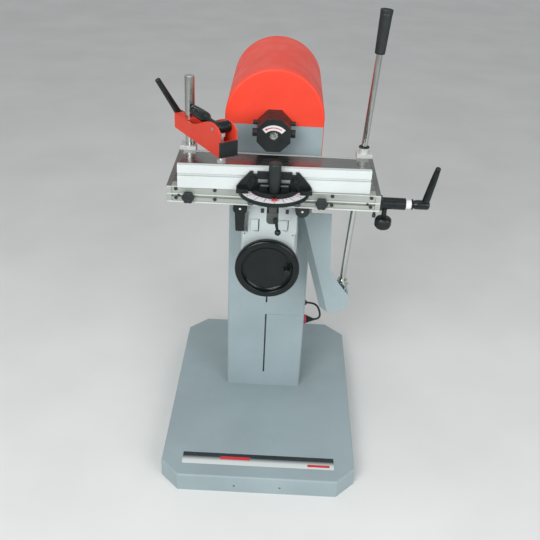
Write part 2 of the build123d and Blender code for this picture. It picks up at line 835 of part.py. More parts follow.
def bearing_rings():
    """Two ball bearings: inner ring, outer ring and balls."""
    pieces = []
    for y in bearing_fronts():
        middle = y + BEARING_WIDTH / 2
        at = Pos(0, middle, SPINDLE_Z) * Rot(-90, 0, 0)
        track = at * Torus(BALL_TRACK, BALL_RADIUS + TRACK_GAP)
        outer = rod_y(y, y + BEARING_WIDTH, 0, SPINDLE_Z, BEARING_OUTER)
        outer -= rod_y(y - 1, y + BEARING_WIDTH + 1, 0, SPINDLE_Z, BALL_TRACK + RACE_GAP)
        inner = rod_y(y, y + BEARING_WIDTH, 0, SPINDLE_Z, BALL_TRACK - RACE_GAP)
        inner -= rod_y(y - 1, y + BEARING_WIDTH + 1, 0, SPINDLE_Z, JOURNAL_RADIUS + RUN)
        pieces += [outer - track, inner - track]
        for n in range(BALL_COUNT):
            a = math.radians(n * 360 / BALL_COUNT)
            centre = Pos(BALL_TRACK * math.cos(a), middle, SPINDLE_Z + BALL_TRACK * math.sin(a))
            pieces.append(centre * Sphere(BALL_RADIUS))
    return Compound(children=pieces)


def spindle_shaft():
    """Motor shaft, from the chuck nose to the fan end."""
    front, back = bearing_fronts()
    body = rod_y(front + BEARING_WIDTH + 1, back - 1, 0, SPINDLE_Z, SHAFT_RADIUS)
    body += rod_y(front - JOURNAL_LEAD, back + BEARING_WIDTH + 2, 0, SPINDLE_Z, JOURNAL_RADIUS)
    body += rod_y(CHUCK_BACK - CHUCK_NOSE_REACH, front, 0, SPINDLE_Z, NOSE_RADIUS)
    body += rod_y(back, FAN_FRONT + FAN_WIDTH, 0, SPINDLE_Z, TAIL_RADIUS)
    return body


def rotor_core():
    """Rotor pack shrunk on the shaft."""
    body = rod_y(STATOR_FRONT, STATOR_BACK, 0, SPINDLE_Z, ROTOR_RADIUS)
    return body - rod_y(STATOR_FRONT - 1, STATOR_BACK + 1, 0, SPINDLE_Z, SHAFT_RADIUS)


def fan():
    """Cooling fan with flat blades on a hub."""
    body = rod_y(FAN_FRONT, FAN_FRONT + FAN_WIDTH, 0, SPINDLE_Z, FAN_HUB_RADIUS)
    blades = []
    for n in range(FAN_BLADES):
        blade = Pos((FAN_RADIUS + FAN_HUB_RADIUS - FAN_BLADE_ROOT) / 2, 0, 0)
        length = FAN_RADIUS - FAN_HUB_RADIUS + FAN_BLADE_ROOT
        blade *= Box(length, FAN_WIDTH - 2 * FAN_BLADE_INSET, FAN_BLADE_THICK)
        turn = Pos(0, FAN_FRONT + FAN_WIDTH / 2, SPINDLE_Z) * Rot(0, n * 360 / FAN_BLADES, 0)
        blades.append(turn * blade)
    body = body.fuse(*blades)
    return body - rod_y(FAN_FRONT - 1, FAN_FRONT + FAN_WIDTH + 1, 0, SPINDLE_Z, TAIL_RADIUS)


def chuck_body():
    """Chuck with a cross slot for the jaws and a bore for the tool shank."""
    body = rod_y(CHUCK_FRONT + CHUCK_TAPER, CHUCK_BACK, 0, SPINDLE_Z, CHUCK_RADIUS)
    tip = CHUCK_RADIUS - CHUCK_TAPER
    body += taper_y(CHUCK_FRONT, CHUCK_FRONT + CHUCK_TAPER, 0, SPINDLE_Z, tip, CHUCK_RADIUS)
    half = CHUCK_SLOT_WIDTH / 2
    reach = CHUCK_RADIUS + 1
    slot_back = CHUCK_FRONT + CHUCK_SLOT_DEPTH
    body -= block(-reach, reach, CHUCK_FRONT - 1, slot_back, SPINDLE_Z - half, SPINDLE_Z + half)
    body -= rod_y(CHUCK_FRONT - 1, CHUCK_FRONT + TOOL_DEPTH, 0, SPINDLE_Z, TOOL_RADIUS)
    body -= rod_y(CHUCK_BACK - CHUCK_NOSE_REACH, CHUCK_BACK + 1, 0, SPINDLE_Z, NOSE_RADIUS)
    return body


def chuck_jaw(side):
    """One flat-faced chuck jaw."""
    half = CHUCK_SLOT_WIDTH / 2 - RUN
    x0 = min(side * JAW_INNER, side * JAW_OUTER)
    y0 = CHUCK_FRONT + JAW_INSET
    y1 = CHUCK_FRONT + CHUCK_SLOT_DEPTH - RUN
    return block(x0, x0 + JAW_OUTER - JAW_INNER, y0, y1, SPINDLE_Z - half, SPINDLE_Z + half)


def octagon(flats, y0, y1):
    """An eight-sided bar along Y with a flat side down."""
    r = flats / 2 / math.cos(math.pi / 8)
    points = []
    for n in range(8):
        a = math.radians(22.5 + 45 * n)
        points.append((r * math.cos(a), SPINDLE_Z + r * math.sin(a)))
    return slab_xz(points, y0, y1)


def chuck_guard():
    """Eight-sided guard round the chuck, with round lugs on both sides."""
    body = octagon(GUARD_FLATS, GUARD_FRONT, COLUMN_FRONT)
    body = chamfer(body.faces().sort_by(Axis.Y)[0].edges(), GUARD_EDGE)
    flat = GUARD_FLATS / 2
    back_z = SPINDLE_Z + GUARD_LUG_BACK_RISE
    lugs = ((GUARD_LUG_Y, SPINDLE_Z, GUARD_LUG_RADIUS), (GUARD_LUG_BACK_Y, back_z, GUARD_LUG_BACK_RADIUS))
    for side in (-1, 1):
        for y, z, r in lugs:
            x0 = min(side * (flat - 2), side * (flat + GUARD_LUG_REACH))
            body += rod_x(x0, x0 + GUARD_LUG_REACH + 2, y, z, r)
    body -= octagon(GUARD_FLATS - 2 * GUARD_WALL, GUARD_FRONT + GUARD_WALL, COLUMN_FRONT + 1)
    body -= rod_y(GUARD_FRONT - 1, GUARD_FRONT + GUARD_WALL + 1, 0, SPINDLE_Z, GUARD_HOLE_RADIUS)
    return body


def knee_body():
    """Hollow knee casting that slides on the column ways."""
    back = COLUMN_FRONT - WAY_NECK_THICK - WAY_HEAD_THICK - RUN
    body = block(-KNEE_HALF, KNEE_HALF, KNEE_FRONT, back, KNEE_BOTTOM, KNEE_TOP)
    body = fillet(body.edges().filter_by(Axis.Z).group_by(Axis.Y)[0], KNEE_CORNER)
    inner = KNEE_HALF - KNEE_WALL
    inside_back = back - KNEE_BACK_WALL
    inside_top = KNEE_TOP - KNEE_TOP_WALL
    body -= block(-inner, inner, KNEE_FRONT + KNEE_WALL, inside_back, KNEE_BOTTOM - 1, inside_top)
    half = SCREW_SLOT_HALF
    body -= block(-half, half, inside_back - 1, back + 1, KNEE_BOTTOM - 1, SCREW_SLOT_TOP)
    inside = WAY_CENTRE + WAY_HEAD_WIDTH / 2 + RUN
    neck_face = COLUMN_FRONT - WAY_NECK_THICK
    for side in (-1, 1):
        x0 = min(side * inside, side * KNEE_CHEEK_OUT)
        width = KNEE_CHEEK_OUT - inside
        body += block(x0, x0 + width, inside_back, neck_face + RUN, KNEE_BOTTOM, KNEE_TOP)
    body += rod_y(KNEE_FRONT + KNEE_WALL - 1, BOSS_BACK, 0, WHEEL_Z, BOSS_RADIUS)
    body -= rod_y(KNEE_FRONT - 1, BOSS_BACK + 1, 0, WHEEL_Z, DRIVE_RADIUS + RUN)
    hole_z = KNEE_TOP - KNEE_HOLE_DROP
    hole_end = KNEE_FRONT + KNEE_HOLE_DEPTH
    for x in (-KNEE_HOLE_X, KNEE_HOLE_X):
        body -= rod_y(KNEE_FRONT - 1, hole_end, x, hole_z, KNEE_HOLE_RADIUS)
    body -= rod_z(inside_top - 1, KNEE_TOP - JOURNAL_COVER, 0, SCREW_Y, SCREW_JOURNAL + RUN)
    return body


def keeper_plates():
    """Two strips that hold the knee on the ways."""
    strips = []
    inside = WAY_CENTRE + WAY_NECK_WIDTH / 2 + KEEPER_GAP
    y = COLUMN_FRONT - WAY_NECK_THICK + RUN
    for side in (-1, 1):
        x0 = min(side * inside, side * KNEE_CHEEK_OUT)
        width = KNEE_CHEEK_OUT - inside
        strips.append(block(x0, x0 + width, y, y + KEEPER_THICK, KNEE_BOTTOM, KNEE_TOP))
    return Compound(children=strips)


def cross_way():
    """T-shaped way on the knee that the cross carriage runs on."""
    half = CROSS_WAY_HALF
    head = CROSS_WAY_HEAD_HALF
    way = block(SLIDE_X - half, SLIDE_X + half, KNEE_FRONT, CROSS_WAY_BACK, KNEE_TOP, CROSS_WAY_NECK_TOP)
    x0 = SLIDE_X - head
    x1 = SLIDE_X + head
    way += block(x0, x1, KNEE_FRONT, CROSS_WAY_BACK, CROSS_WAY_NECK_TOP, CROSS_WAY_TOP)
    return way


def lever_arm():
    """Folded sheet arm beside the knee that carries the joystick's joint."""
    lower = [(LEVER_PIVOT_X + dx, z) for dx, z in PLATE_CORNER + PLATE_RIGHT]
    outline = [FOLD_TOP, FOLD_BOTTOM] + lower
    arm = slab_xz(outline, PLATE_Y, PLATE_Y + ARM_SHEET)
    sx, sy = FLANGE_SHIFT
    x, z = FOLD_TOP
    near = PLATE_Y
    t = ARM_SHEET
    corners = [(x, near), (x + sx, near + sy), (x + sx + t, near + sy), (x + t, near)]
    section = make_face(Polyline(*[(a, b, z) for a, b in corners], close=True))
    slope = Vector(FOLD_BOTTOM[0] - x, 0, FOLD_BOTTOM[1] - z)
    arm += extrude(section, slope.length, dir=slope.normalized())
    arm += block(KNEE_HALF, KNEE_HALF + t, PLATE_Y, FOOT_PLATE_BACK, FOOT_PLATE_BOTTOM, FOLD_TOP[1])
    arm += block(KNEE_HALF, x + SHELF_OVERHANG, PLATE_Y, FOOT_PLATE_BACK, FOLD_TOP[1] - t, FOLD_TOP[1])
    shelf = LEVER_PIVOT_X - SHELF_HALF
    arm += block(shelf, shelf + 2 * SHELF_HALF, PLATE_Y, SHELF_BACK, SHELF_Z, SHELF_Z + t)
    for side in (-1, 1):
        inner = LEVER_PIVOT_X + side * LUG_INNER
        x0 = min(inner, inner + side * LUG_THICK)
        r = LUG_RADIUS
        lug = block(x0, x0 + LUG_THICK, LEVER_Y - r, LEVER_Y + r, SHELF_Z + t, PIVOT_Z)
        arm += lug + rod_x(x0, x0 + LUG_THICK, LEVER_Y, PIVOT_Z, r)
    reach = LUG_INNER + LUG_THICK + 1
    arm -= rod_x(LEVER_PIVOT_X - reach, LEVER_PIVOT_X + reach, LEVER_Y, PIVOT_Z, CROSS_PIN_RADIUS + RUN)
    return arm


def handwheel():
    """Dished handwheel with a recessed face."""
    back = WHEEL_FACE + WHEEL_RIM_DEPTH
    body = rod_y(WHEEL_FACE, back, 0, WHEEL_Z, WHEEL_RADIUS)
    body = fillet(body.edges().filter_by(GeomType.CIRCLE), RIM_ROUND)
    inner = WHEEL_RADIUS - WHEEL_RIM_WIDTH
    body -= rod_y(WHEEL_FACE - 1, WHEEL_WEB_FACE, 0, WHEEL_Z, inner)
    body -= rod_y(WHEEL_WEB_FACE + WHEEL_WEB_THICK, back + 1, 0, WHEEL_Z, inner)
    body += rod_y(WHEEL_WEB_FACE, WHEEL_HUB_BACK, 0, WHEEL_Z, WHEEL_HUB_RADIUS)
    body -= rod_y(WHEEL_WEB_FACE + HUB_SOCKET, WHEEL_HUB_BACK + 1, 0, WHEEL_Z, DRIVE_RADIUS)
    boss = WHEEL_WEB_FACE - GRIP_BOSS_STEP
    body += rod_y(boss, WHEEL_WEB_FACE + 1, GRIP_X, GRIP_Z, GRIP_RADIUS + 2)
    pin_end = boss - GRIP_LENGTH + GRIP_END_WALL + GRIP_PIN_GAP
    body += rod_y(pin_end, WHEEL_WEB_FACE + 1, GRIP_X, GRIP_Z, GRIP_PIN_RADIUS)
    return body


def wheel_grip():
    """Turning grip on the handwheel's pin."""
    y1 = WHEEL_WEB_FACE - GRIP_BOSS_STEP - RUN
    y0 = y1 - GRIP_LENGTH
    body = rod_y(y0, y1, GRIP_X, GRIP_Z, GRIP_RADIUS)
    body = fillet(body.edges().filter_by(GeomType.CIRCLE), GRIP_EDGE)
    return body - rod_y(y0 + GRIP_END_WALL, y1 + 1, GRIP_X, GRIP_Z, GRIP_PIN_RADIUS + RUN)


def bevel_gear():
    """A toothed bevel gear on +Z, its pitch face at z = 0 and its tip above."""
    back = GEAR_BACK
    gear = Cone(GEAR_PITCH, GEAR_PITCH - GEAR_FACE, GEAR_FACE, align=(Align.CENTER, Align.CENTER, Align.MIN))
    gear += Pos(0, 0, -back) * Cylinder(GEAR_PITCH, back, align=(Align.CENTER, Align.CENTER, Align.MIN))
    for n in range(GEAR_TEETH):
        cut = Pos(GEAR_PITCH, 0, 0) * Rot(0, -45, 0) * Box(TOOTH_CUT_DEPTH, TOOTH_CUT_WIDTH, TOOTH_CUT_LENGTH)
        gear -= Rot(0, 0, n * 360 / GEAR_TEETH) * cut
    return gear


def wheel_shaft():
    """Handwheel shaft with its bevel gear."""
    shaft = rod_y(WHEEL_WEB_FACE + HUB_SOCKET, DRIVE_BACK, 0, WHEEL_Z, DRIVE_RADIUS)
    gear_y = SCREW_Y - GEAR_PITCH - GEAR_GAP
    return shaft + Pos(0, gear_y, WHEEL_Z) * Rot(-90, 0, 0) * bevel_gear()


def lift_screw():
    """Vertical lift screw with its bevel gear and a thread groove."""
    top = KNEE_TOP - KNEE_TOP_WALL - RUN
    gear_z = WHEEL_Z + GEAR_PITCH + GEAR_GAP
    screw = rod_z(SCREW_BOTTOM, gear_z, 0, SCREW_Y, SCREW_RADIUS)
    core = SCREW_RADIUS - THREAD_DEPTH
    for n in range(THREAD_GROOVES):
        z0 = SCREW_BOTTOM + THREAD_LEAD + n * THREAD_PITCH
        z1 = z0 + THREAD_WIDTH
        screw -= rod_z(z0, z1, 0, SCREW_Y, SCREW_RADIUS + 1) - rod_z(z0, z1, 0, SCREW_Y, core)
    screw += Pos(0, SCREW_Y, gear_z) * Rot(180, 0, 0) * bevel_gear()
    screw += rod_z(gear_z, top, 0, SCREW_Y, SCREW_RADIUS)
    screw += rod_z(top - 1, KNEE_TOP - JOURNAL_COVER - RUN, 0, SCREW_Y, SCREW_JOURNAL)
    return screw


def cross_carriage():
    """Cast carriage that straddles the cross way and carries the table rods."""
    x0 = SLIDE_X - CARRIAGE_HALF
    x1 = SLIDE_X + CARRIAGE_HALF
    body = block(x0, x1, CARRIAGE_FRONT, CARRIAGE_BACK, CARRIAGE_BOTTOM, CARRIAGE_TOP)
    body = fillet(body.edges().filter_by(Axis.Z), CARRIAGE_CORNER)
    neck = CROSS_WAY_HALF + RUN
    head = CROSS_WAY_HEAD_HALF + RUN
    y0 = CARRIAGE_FRONT - 1
    y1 = CARRIAGE_BACK + 1
    neck_top = CROSS_WAY_NECK_TOP - RUN
    body -= block(SLIDE_X - neck, SLIDE_X + neck, y0, y1, CARRIAGE_BOTTOM - 1, neck_top + 1)
    body -= block(SLIDE_X - head, SLIDE_X + head, y0, y1, neck_top, CROSS_WAY_TOP + RUN)
    for y in (ROD_FRONT_Y, ROD_BACK_Y):
        body -= rod_x(x0 - 1, x1 + 1, y, ROD_Z, ROD_RADIUS + RUN)
    wall = CARRIAGE_WALL
    pocket_front = ROD_FRONT_Y + ROD_HOUSING
    pocket_back = ROD_BACK_Y - ROD_HOUSING
    body -= block(x0 + wall, x1 - wall, pocket_front, pocket_back, CROSS_WAY_TOP + wall, CARRIAGE_TOP + 1)
    r = LOCK_LUG_RADIUS
    for x, edge in ((LOCK_LEFT_X, x0 + LOCK_LUG_INSET), (LOCK_RIGHT_X, x1 - LOCK_LUG_INSET)):
        lug = block(min(x, edge), max(x, edge), LOCK_LUG_FRONT, LOCK_LUG_BACK, LOCK_Z - r, LOCK_Z + r)
        body += lug + rod_y(LOCK_LUG_FRONT, LOCK_LUG_BACK, x, LOCK_Z, r)
    for x in POCKET_X:
        half = POCKET_WIDTH / 2
        body -= block(x - half, x + half, y0, CARRIAGE_FRONT + POCKET_DEPTH, POCKET_BOTTOM, POCKET_TOP)
    for x in RIB_LINE_X:
        half = RIB_LINE_WIDTH / 2
        depth = CARRIAGE_FRONT + RIB_LINE_DEPTH
        body -= block(x - half, x + half, y0, depth, RIB_LINE_BOTTOM, RIB_LINE_TOP)
        body -= block(x - RIB_HOOK, x, y0, depth, RIB_LINE_BOTTOM, RIB_LINE_BOTTOM + RIB_LINE_WIDTH)
    for x in (LOCK_LEFT_X, LOCK_RIGHT_X):
        body -= rod_y(LOCK_LUG_FRONT - 1, LOCK_LUG_BACK + 1, x, LOCK_Z, LOCK_BOLT_RADIUS + RUN)
    return body


def lock_lever():
    """Left carriage lock: round head with a hanging bar."""
    y1 = LOCK_LUG_FRONT - GAP
    y0 = y1 - LOCK_HEAD_THICK
    body = rod_y(y0, y1, LOCK_LEFT_X, LOCK_Z, LOCK_RADIUS)
    top = LOCK_BAR_HALF_TOP
    low = LOCK_BAR_HALF_BOTTOM
    outline = [(-top, LOCK_Z), (top, LOCK_Z), (low, LOCK_BAR_BOTTOM), (-low, LOCK_BAR_BOTTOM)]
    bar = slab_xz([(LOCK_LEFT_X + x, z) for x, z in outline], y0 + LOCK_BAR_FRONT, y1 - LOCK_BAR_BACK)
    body += fillet(bar.edges().filter_by(Axis.Y).group_by(Axis.Z)[0], LOCK_EDGE)
    return body + rod_y(y1 - 1, LOCK_LUG_BACK - LOCK_LUG_INSET, LOCK_LEFT_X, LOCK_Z, LOCK_BOLT_RADIUS)


def lock_knob():
    """Right carriage lock: plain round knob."""
    y1 = LOCK_LUG_FRONT - GAP
    y0 = y1 - LOCK_HEAD_THICK
    body = rod_y(y0, y1, LOCK_RIGHT_X, LOCK_Z, LOCK_RADIUS)
    body = fillet(body.edges().filter_by(GeomType.CIRCLE).group_by(Axis.Y)[0], LOCK_EDGE)
    return body + rod_y(y1 - 1, LOCK_LUG_BACK - LOCK_LUG_INSET, LOCK_RIGHT_X, LOCK_Z, LOCK_BOLT_RADIUS)


def table_top():
    """Ground table plate behind the rail's ledge."""
    y0 = TABLE_FRONT + RAIL_LEDGE
    z0 = TABLE_TOP - TOP_THICK
    inner = TABLE_LENGTH / 2 - END_THICK
    return block(SLIDE_X - inner, SLIDE_X + inner, y0, TABLE_BACK, z0, TABLE_TOP)


def front_rail():
    """Extruded front rail with a ledge on top, two shallow bands and a groove."""
    inner = TABLE_LENGTH / 2 - END_THICK
    x0 = SLIDE_X - inner
    x1 = SLIDE_X + inner
    y1 = TABLE_FRONT + RAIL_THICK
    body = block(x0, x1, TABLE_FRONT, y1, RAIL_BOTTOM, TABLE_TOP)
    body += block(x0, x1, TABLE_FRONT, TABLE_FRONT + RAIL_LEDGE, TABLE_TOP - TOP_THICK, TABLE_TOP)
    depth = TABLE_FRONT + RAIL_RECESS
    low = RAIL_BOTTOM + UPPER_BAND_START
    body -= block(x0 - 1, x1 + 1, TABLE_FRONT - 1, depth, low, TABLE_TOP - UPPER_BAND_MARGIN)
    low = RAIL_BOTTOM + LOWER_BAND_START
    body -= block(x0 - 1, x1 + 1, TABLE_FRONT - 1, depth, low, RAIL_BOTTOM + LOWER_BAND_END)
    half = RAIL_GROOVE_WIDTH / 2
    y_groove = TABLE_FRONT + RAIL_GROOVE_DEPTH
    return body - block(x0 - 1, x1 + 1, TABLE_FRONT - 1, y_groove, RAIL_GROOVE_Z - half, RAIL_GROOVE_Z + half)


def end_plates():
    """Two plates that close the table's ends and hold the rods."""
    plates = []
    for x in (TABLE_LEFT, TABLE_RIGHT - END_THICK):
        plate = block(x, x + END_THICK, TABLE_FRONT, TABLE_BACK, RAIL_BOTTOM, TABLE_TOP)
        plates.append(plate)
    rods = x_rods()
    return Compound(children=[plate - rods for plate in plates])


def x_rods():
    """Two round rods under the table."""
    x0 = TABLE_LEFT + END_THICK - ROD_SOCKET
    x1 = TABLE_RIGHT - END_THICK + ROD_SOCKET
    rods = [rod_x(x0, x1, y, ROD_Z, ROD_RADIUS) for y in (ROD_FRONT_Y, ROD_BACK_Y)]
    return Compound(children=rods)


def post_block():
    """Rear left block that the clamp post stands in."""
    x0 = TABLE_LEFT + BLOCK_INSET - BLOCK_WIDTH / 2
    body = block(x0, x0 + BLOCK_WIDTH, TABLE_BACK, POST_BLOCK_BACK, POST_BLOCK_BOTTOM, BLOCK_TOP)
    body = chamfer(body.faces().sort_by(Axis.Z)[-1].edges(), BLOCK_EDGE)
    return body - rod_z(POST_BOTTOM - RUN, BLOCK_TOP + 1, POST_X, POST_Y, POST_RADIUS + RUN)


def guide_block():
    """Rear right block with a flared opening for the joystick rod."""
    x0 = TABLE_RIGHT - BLOCK_INSET - BLOCK_WIDTH / 2
    body = block(x0, x0 + BLOCK_WIDTH, TABLE_BACK, GUIDE_BACK, GUIDE_BOTTOM, BLOCK_TOP)
    body = chamfer(body.faces().sort_by(Axis.Z)[-1].edges(), BLOCK_EDGE)
    body += rod_z(BLOCK_TOP - 1, GUIDE_BOSS_TOP, LEVER_X, LEVER_Y, GUIDE_BOSS_RADIUS)
    body += rod_z(GUIDE_BOSS_TOP - 1, GUIDE_RING_TOP, LEVER_X, LEVER_Y, GUIDE_RING_RADIUS)
    top = GUIDE_RING_TOP + 1
    low = GUIDE_BOTTOM - 1
    top_radius = WAIST_RADIUS + BORE_FLARE * (top - WAIST_Z)
    low_radius = WAIST_RADIUS + BORE_FLARE * (WAIST_Z - low)
    body -= taper_z(WAIST_Z, top, LEVER_X, LEVER_Y, WAIST_RADIUS, top_radius)
    return body - taper_z(low, WAIST_Z, LEVER_X, LEVER_Y, low_radius, WAIST_RADIUS)


def socket_screw():
    """A socket screw head standing on +Z, its seat at z = 0."""
    head = Cylinder(BOLT_HEAD_RADIUS, BOLT_HEAD_THICK, align=(Align.CENTER, Align.CENTER, Align.MIN))
    head = fillet(head.edges().group_by(Axis.Z)[-1], BOLT_EDGE)
    recess = extrude(RegularPolygon(BOLT_HEX_RADIUS, 6), BOLT_HEX_DEPTH + 1)
    return head - Pos(0, 0, BOLT_HEAD_THICK - BOLT_HEX_DEPTH) * recess


def rail_bolts():
    """Socket screws on the rail front and on the table's sides."""
    screws = []
    near, far = RAIL_PAIR_REACH
    for side in (-1, 1):
        for reach, seat in ((near, TABLE_FRONT + RAIL_RECESS), (far, TABLE_FRONT + RAIL_RECESS)):
            for z in (RAIL_PAIR_UPPER, RAIL_PAIR_LOWER):
                at = Pos(SLIDE_X + side * reach, seat, z) * Rot(90, 0, 0)
                screws.append(at * socket_screw())
    for y in SIDE_SCREW_LEFT:
        screws.append(Pos(TABLE_LEFT, y, SIDE_SCREW_Z) * Rot(0, -90, 0) * socket_screw())
    for y in SIDE_SCREW_RIGHT:
        screws.append(Pos(TABLE_RIGHT, y, SIDE_SCREW_Z) * Rot(0, 90, 0) * socket_screw())
    return Compound(children=screws)


def stop_holder():
    """Black side stop holder on the table's right end."""
    x1 = TABLE_RIGHT + STOP_PLATE_THICK
    z0 = RAIL_BOTTOM + STOP_PLATE_RISE
    body = block(TABLE_RIGHT, x1, TABLE_FRONT + 1, STOP_Y + STOP_BODY_RADIUS, z0, STOP_PLATE_TOP)
    body += rod_x(TABLE_RIGHT + 1, STOP_BODY_END, STOP_Y, STOP_Z, STOP_BODY_RADIUS)
    x0 = TABLE_RIGHT + STOP_PLATE_THICK
    body -= rod_x(x0, STOP_BODY_END + 1, STOP_Y, STOP_Z, STOP_ROD_RADIUS + RUN)
    low = STOP_Z - STOP_BODY_RADIUS - 1
    return body - rod_z(low, STOP_Z - STOP_STUD_DEPTH, STOP_KNOB_X, STOP_Y, STOP_STUD_RADIUS + RUN)


def stop_rod():
    """Bright stop rod with its collar."""
    x0 = TABLE_RIGHT + STOP_PLATE_THICK + STOP_ROD_START
    collar = STOP_BODY_END + GAP
    body = rod_x(x0, STOP_LEVER_END - STOP_ROD_END, STOP_Y, STOP_Z, STOP_ROD_RADIUS)
    ring = rod_x(collar, collar + STOP_COLLAR_LENGTH, STOP_Y, STOP_Z, STOP_COLLAR_RADIUS)
    return body + chamfer(ring.edges().filter_by(GeomType.CIRCLE), STOP_COLLAR_EDGE)


def stop_lever():
    """Clamp lever on the end of the stop rod."""
    x0 = STOP_BODY_END + GAP + STOP_COLLAR_LENGTH + GAP
    body = rod_x(x0, x0 + STOP_FLANGE_THICK, STOP_Y, STOP_Z, STOP_COLLAR_RADIUS + STOP_FLANGE_STEP)
    body += rod_x(x0, STOP_LEVER_END, STOP_Y, STOP_Z, STOP_LEVER_HUB)
    body = fillet(body.edges().group_by(Axis.X)[-1], STOP_LEVER_ROUND)
    root = (STOP_LEVER_END - STOP_LEVER_HUB, STOP_Y, STOP_Z + STOP_ARM_RISE)
    tip = (STOP_TIP_X, STOP_Y, STOP_TIP_Z)
    body += bar_between(root, tip, STOP_ARM_ROOT, STOP_ARM_TIP)
    body += Pos(*tip) * Sphere(STOP_ARM_TIP)
    return body - rod_x(x0 - 1, STOP_LEVER_END - STOP_ROD_END + RUN, STOP_Y, STOP_Z, STOP_ROD_RADIUS + RUN)


def stop_knob():
    """Fluted knob under the side stop holder."""
    body = rod_z(STOP_KNOB_BOTTOM, STOP_KNOB_TOP, STOP_KNOB_X, STOP_Y, STOP_KNOB_RADIUS)
    body = fillet(body.edges().filter_by(GeomType.CIRCLE), STOP_KNOB_ROUND)
    centre = STOP_KNOB_RADIUS + STOP_FLUTE_OFFSET
    for n in range(STOP_FLUTES):
        a = math.radians((n + 0.5) * 360 / STOP_FLUTES)
        x = STOP_KNOB_X + centre * math.cos(a)
        y = STOP_Y + centre * math.sin(a)
        body -= rod_z(STOP_KNOB_BOTTOM - 1, STOP_KNOB_TOP + 1, x, y, STOP_FLUTE_RADIUS)
    neck_top = STOP_Z - STOP_BODY_RADIUS - GAP
    body += rod_z(STOP_KNOB_TOP - 1, neck_top, STOP_KNOB_X, STOP_Y, STOP_NECK_RADIUS)
    stud_end = STOP_Z - STOP_STUD_DEPTH - STOP_STUD_GAP
    return body + rod_z(neck_top - 1, stud_end, STOP_KNOB_X, STOP_Y, STOP_STUD_RADIUS)


def bracket_stem():
    """The part of the gauge casting that is bolted to the rail."""
    x0 = SLIDE_X - BRACKET_HALF
    x1 = SLIDE_X + BRACKET_HALF
    top = DIAL_BOTTOM + 1
    plate_front = TABLE_FRONT - BRACKET_PLATE
    body = block(x0, x1, plate_front, TABLE_FRONT, BRACKET_BOTTOM + BRACKET_SKIRT, top)
    lower = block(x0, x1, BRACKET_FRONT, plate_front + 1, BRACKET_BOTTOM, BRACKET_BLOCK_TOP)
    body += fillet(lower.edges().filter_by(Axis.Y).group_by(Axis.Z)[0], BRACKET_ROUND)
    half = BRACKET_RIB_HALF
    rib_front = BRACKET_FRONT + BRACKET_RIB_SET
    body += block(SLIDE_X - half, SLIDE_X + half, rib_front, plate_front + 1, BRACKET_BLOCK_TOP - 1, top)
    x = BALL_LEVER_X - BALL_SHIFT
    z = BALL_LEVER_Z + BALL_SHIFT
    return body - rod_y(BRACKET_FRONT - 1, TABLE_FRONT + 1, x, z, BALL_PIN_RADIUS + RUN)


def swung(shape):
    """Turns a gauge piece about the pivot to the fence's rest angle."""
    return shape.rotate(Axis((SLIDE_X, PIVOT_Y, 0), (0, 0, 1)), FENCE_REST_ANGLE)


def front_ring(outer, inner, z0, z1):
    """A ring about the swing pivot, kept in front of the rail."""
    ring = rod_z(z0, z1, SLIDE_X, PIVOT_Y, outer)
    if inner:
        ring -= rod_z(z0 - 1, z1 + 1, SLIDE_X, PIVOT_Y, inner)
    front = PIVOT_Y - outer
    return ring & block(SLIDE_X - outer, SLIDE_X + outer, front, TABLE_FRONT - 1, z0, z1)


def gauge_bracket():
    """Cast bracket with its half-round protractor under the swing bracket."""
    floor = DIAL_BOTTOM + DIAL_FLOOR
    body = front_ring(DIAL_RADIUS, 0, DIAL_BOTTOM, floor)
    body += front_ring(DIAL_RADIUS, DIAL_INNER, floor - 1, DIAL_TOP)
    body += front_ring(DIAL_RIB_OUTER, DIAL_RIB_INNER, floor - 1, floor + DIAL_RIB_RISE)
    for side in (-1, 1):
        x = SLIDE_X + side * DIAL_LUG_CENTRE * math.sin(math.radians(DIAL_LUG_ANGLE))
        y = PIVOT_Y - DIAL_LUG_CENTRE * math.cos(math.radians(DIAL_LUG_ANGLE))
        body += rod_z(DIAL_BOTTOM - DIAL_LUG_DROP, DIAL_BOTTOM + 2, x, y, DIAL_LUG_RADIUS)
    x0 = SLIDE_X - DIAL_RADIUS
    x1 = SLIDE_X + DIAL_RADIUS
    behind = block(x0, x1, TABLE_FRONT - 1, PIVOT_Y + 10, DIAL_BOTTOM - DIAL_LUG_DROP, DIAL_TOP)
    return (swung(body) - behind) + bracket_stem()


def fence():
    """Extruded fence with a lip and a groove along its front face."""
    x0 = SLIDE_X - FENCE_LENGTH / 2
    x1 = SLIDE_X + FENCE_LENGTH / 2
    z0 = TABLE_TOP + GAP
    z1 = TABLE_TOP + FENCE_HEIGHT
    body = block(x0, x1, FENCE_FACE, FENCE_FACE + FENCE_THICK, z0, z1)
    half = FENCE_GROOVE_WIDTH / 2
    depth = FENCE_FACE + FENCE_GROOVE_DEPTH
    body -= block(x0 - 1, x1 + 1, FENCE_FACE - 1, depth, FENCE_GROOVE_Z - half, FENCE_GROOVE_Z + half)
    wall = FENCE_TOP_WALL
    back = FENCE_FACE + FENCE_THICK - wall
    body -= block(x0 - 1, x1 + 1, FENCE_FACE + wall, back, z1 - FENCE_TOP_GROOVE, z1 + 1)
    return swung(body)


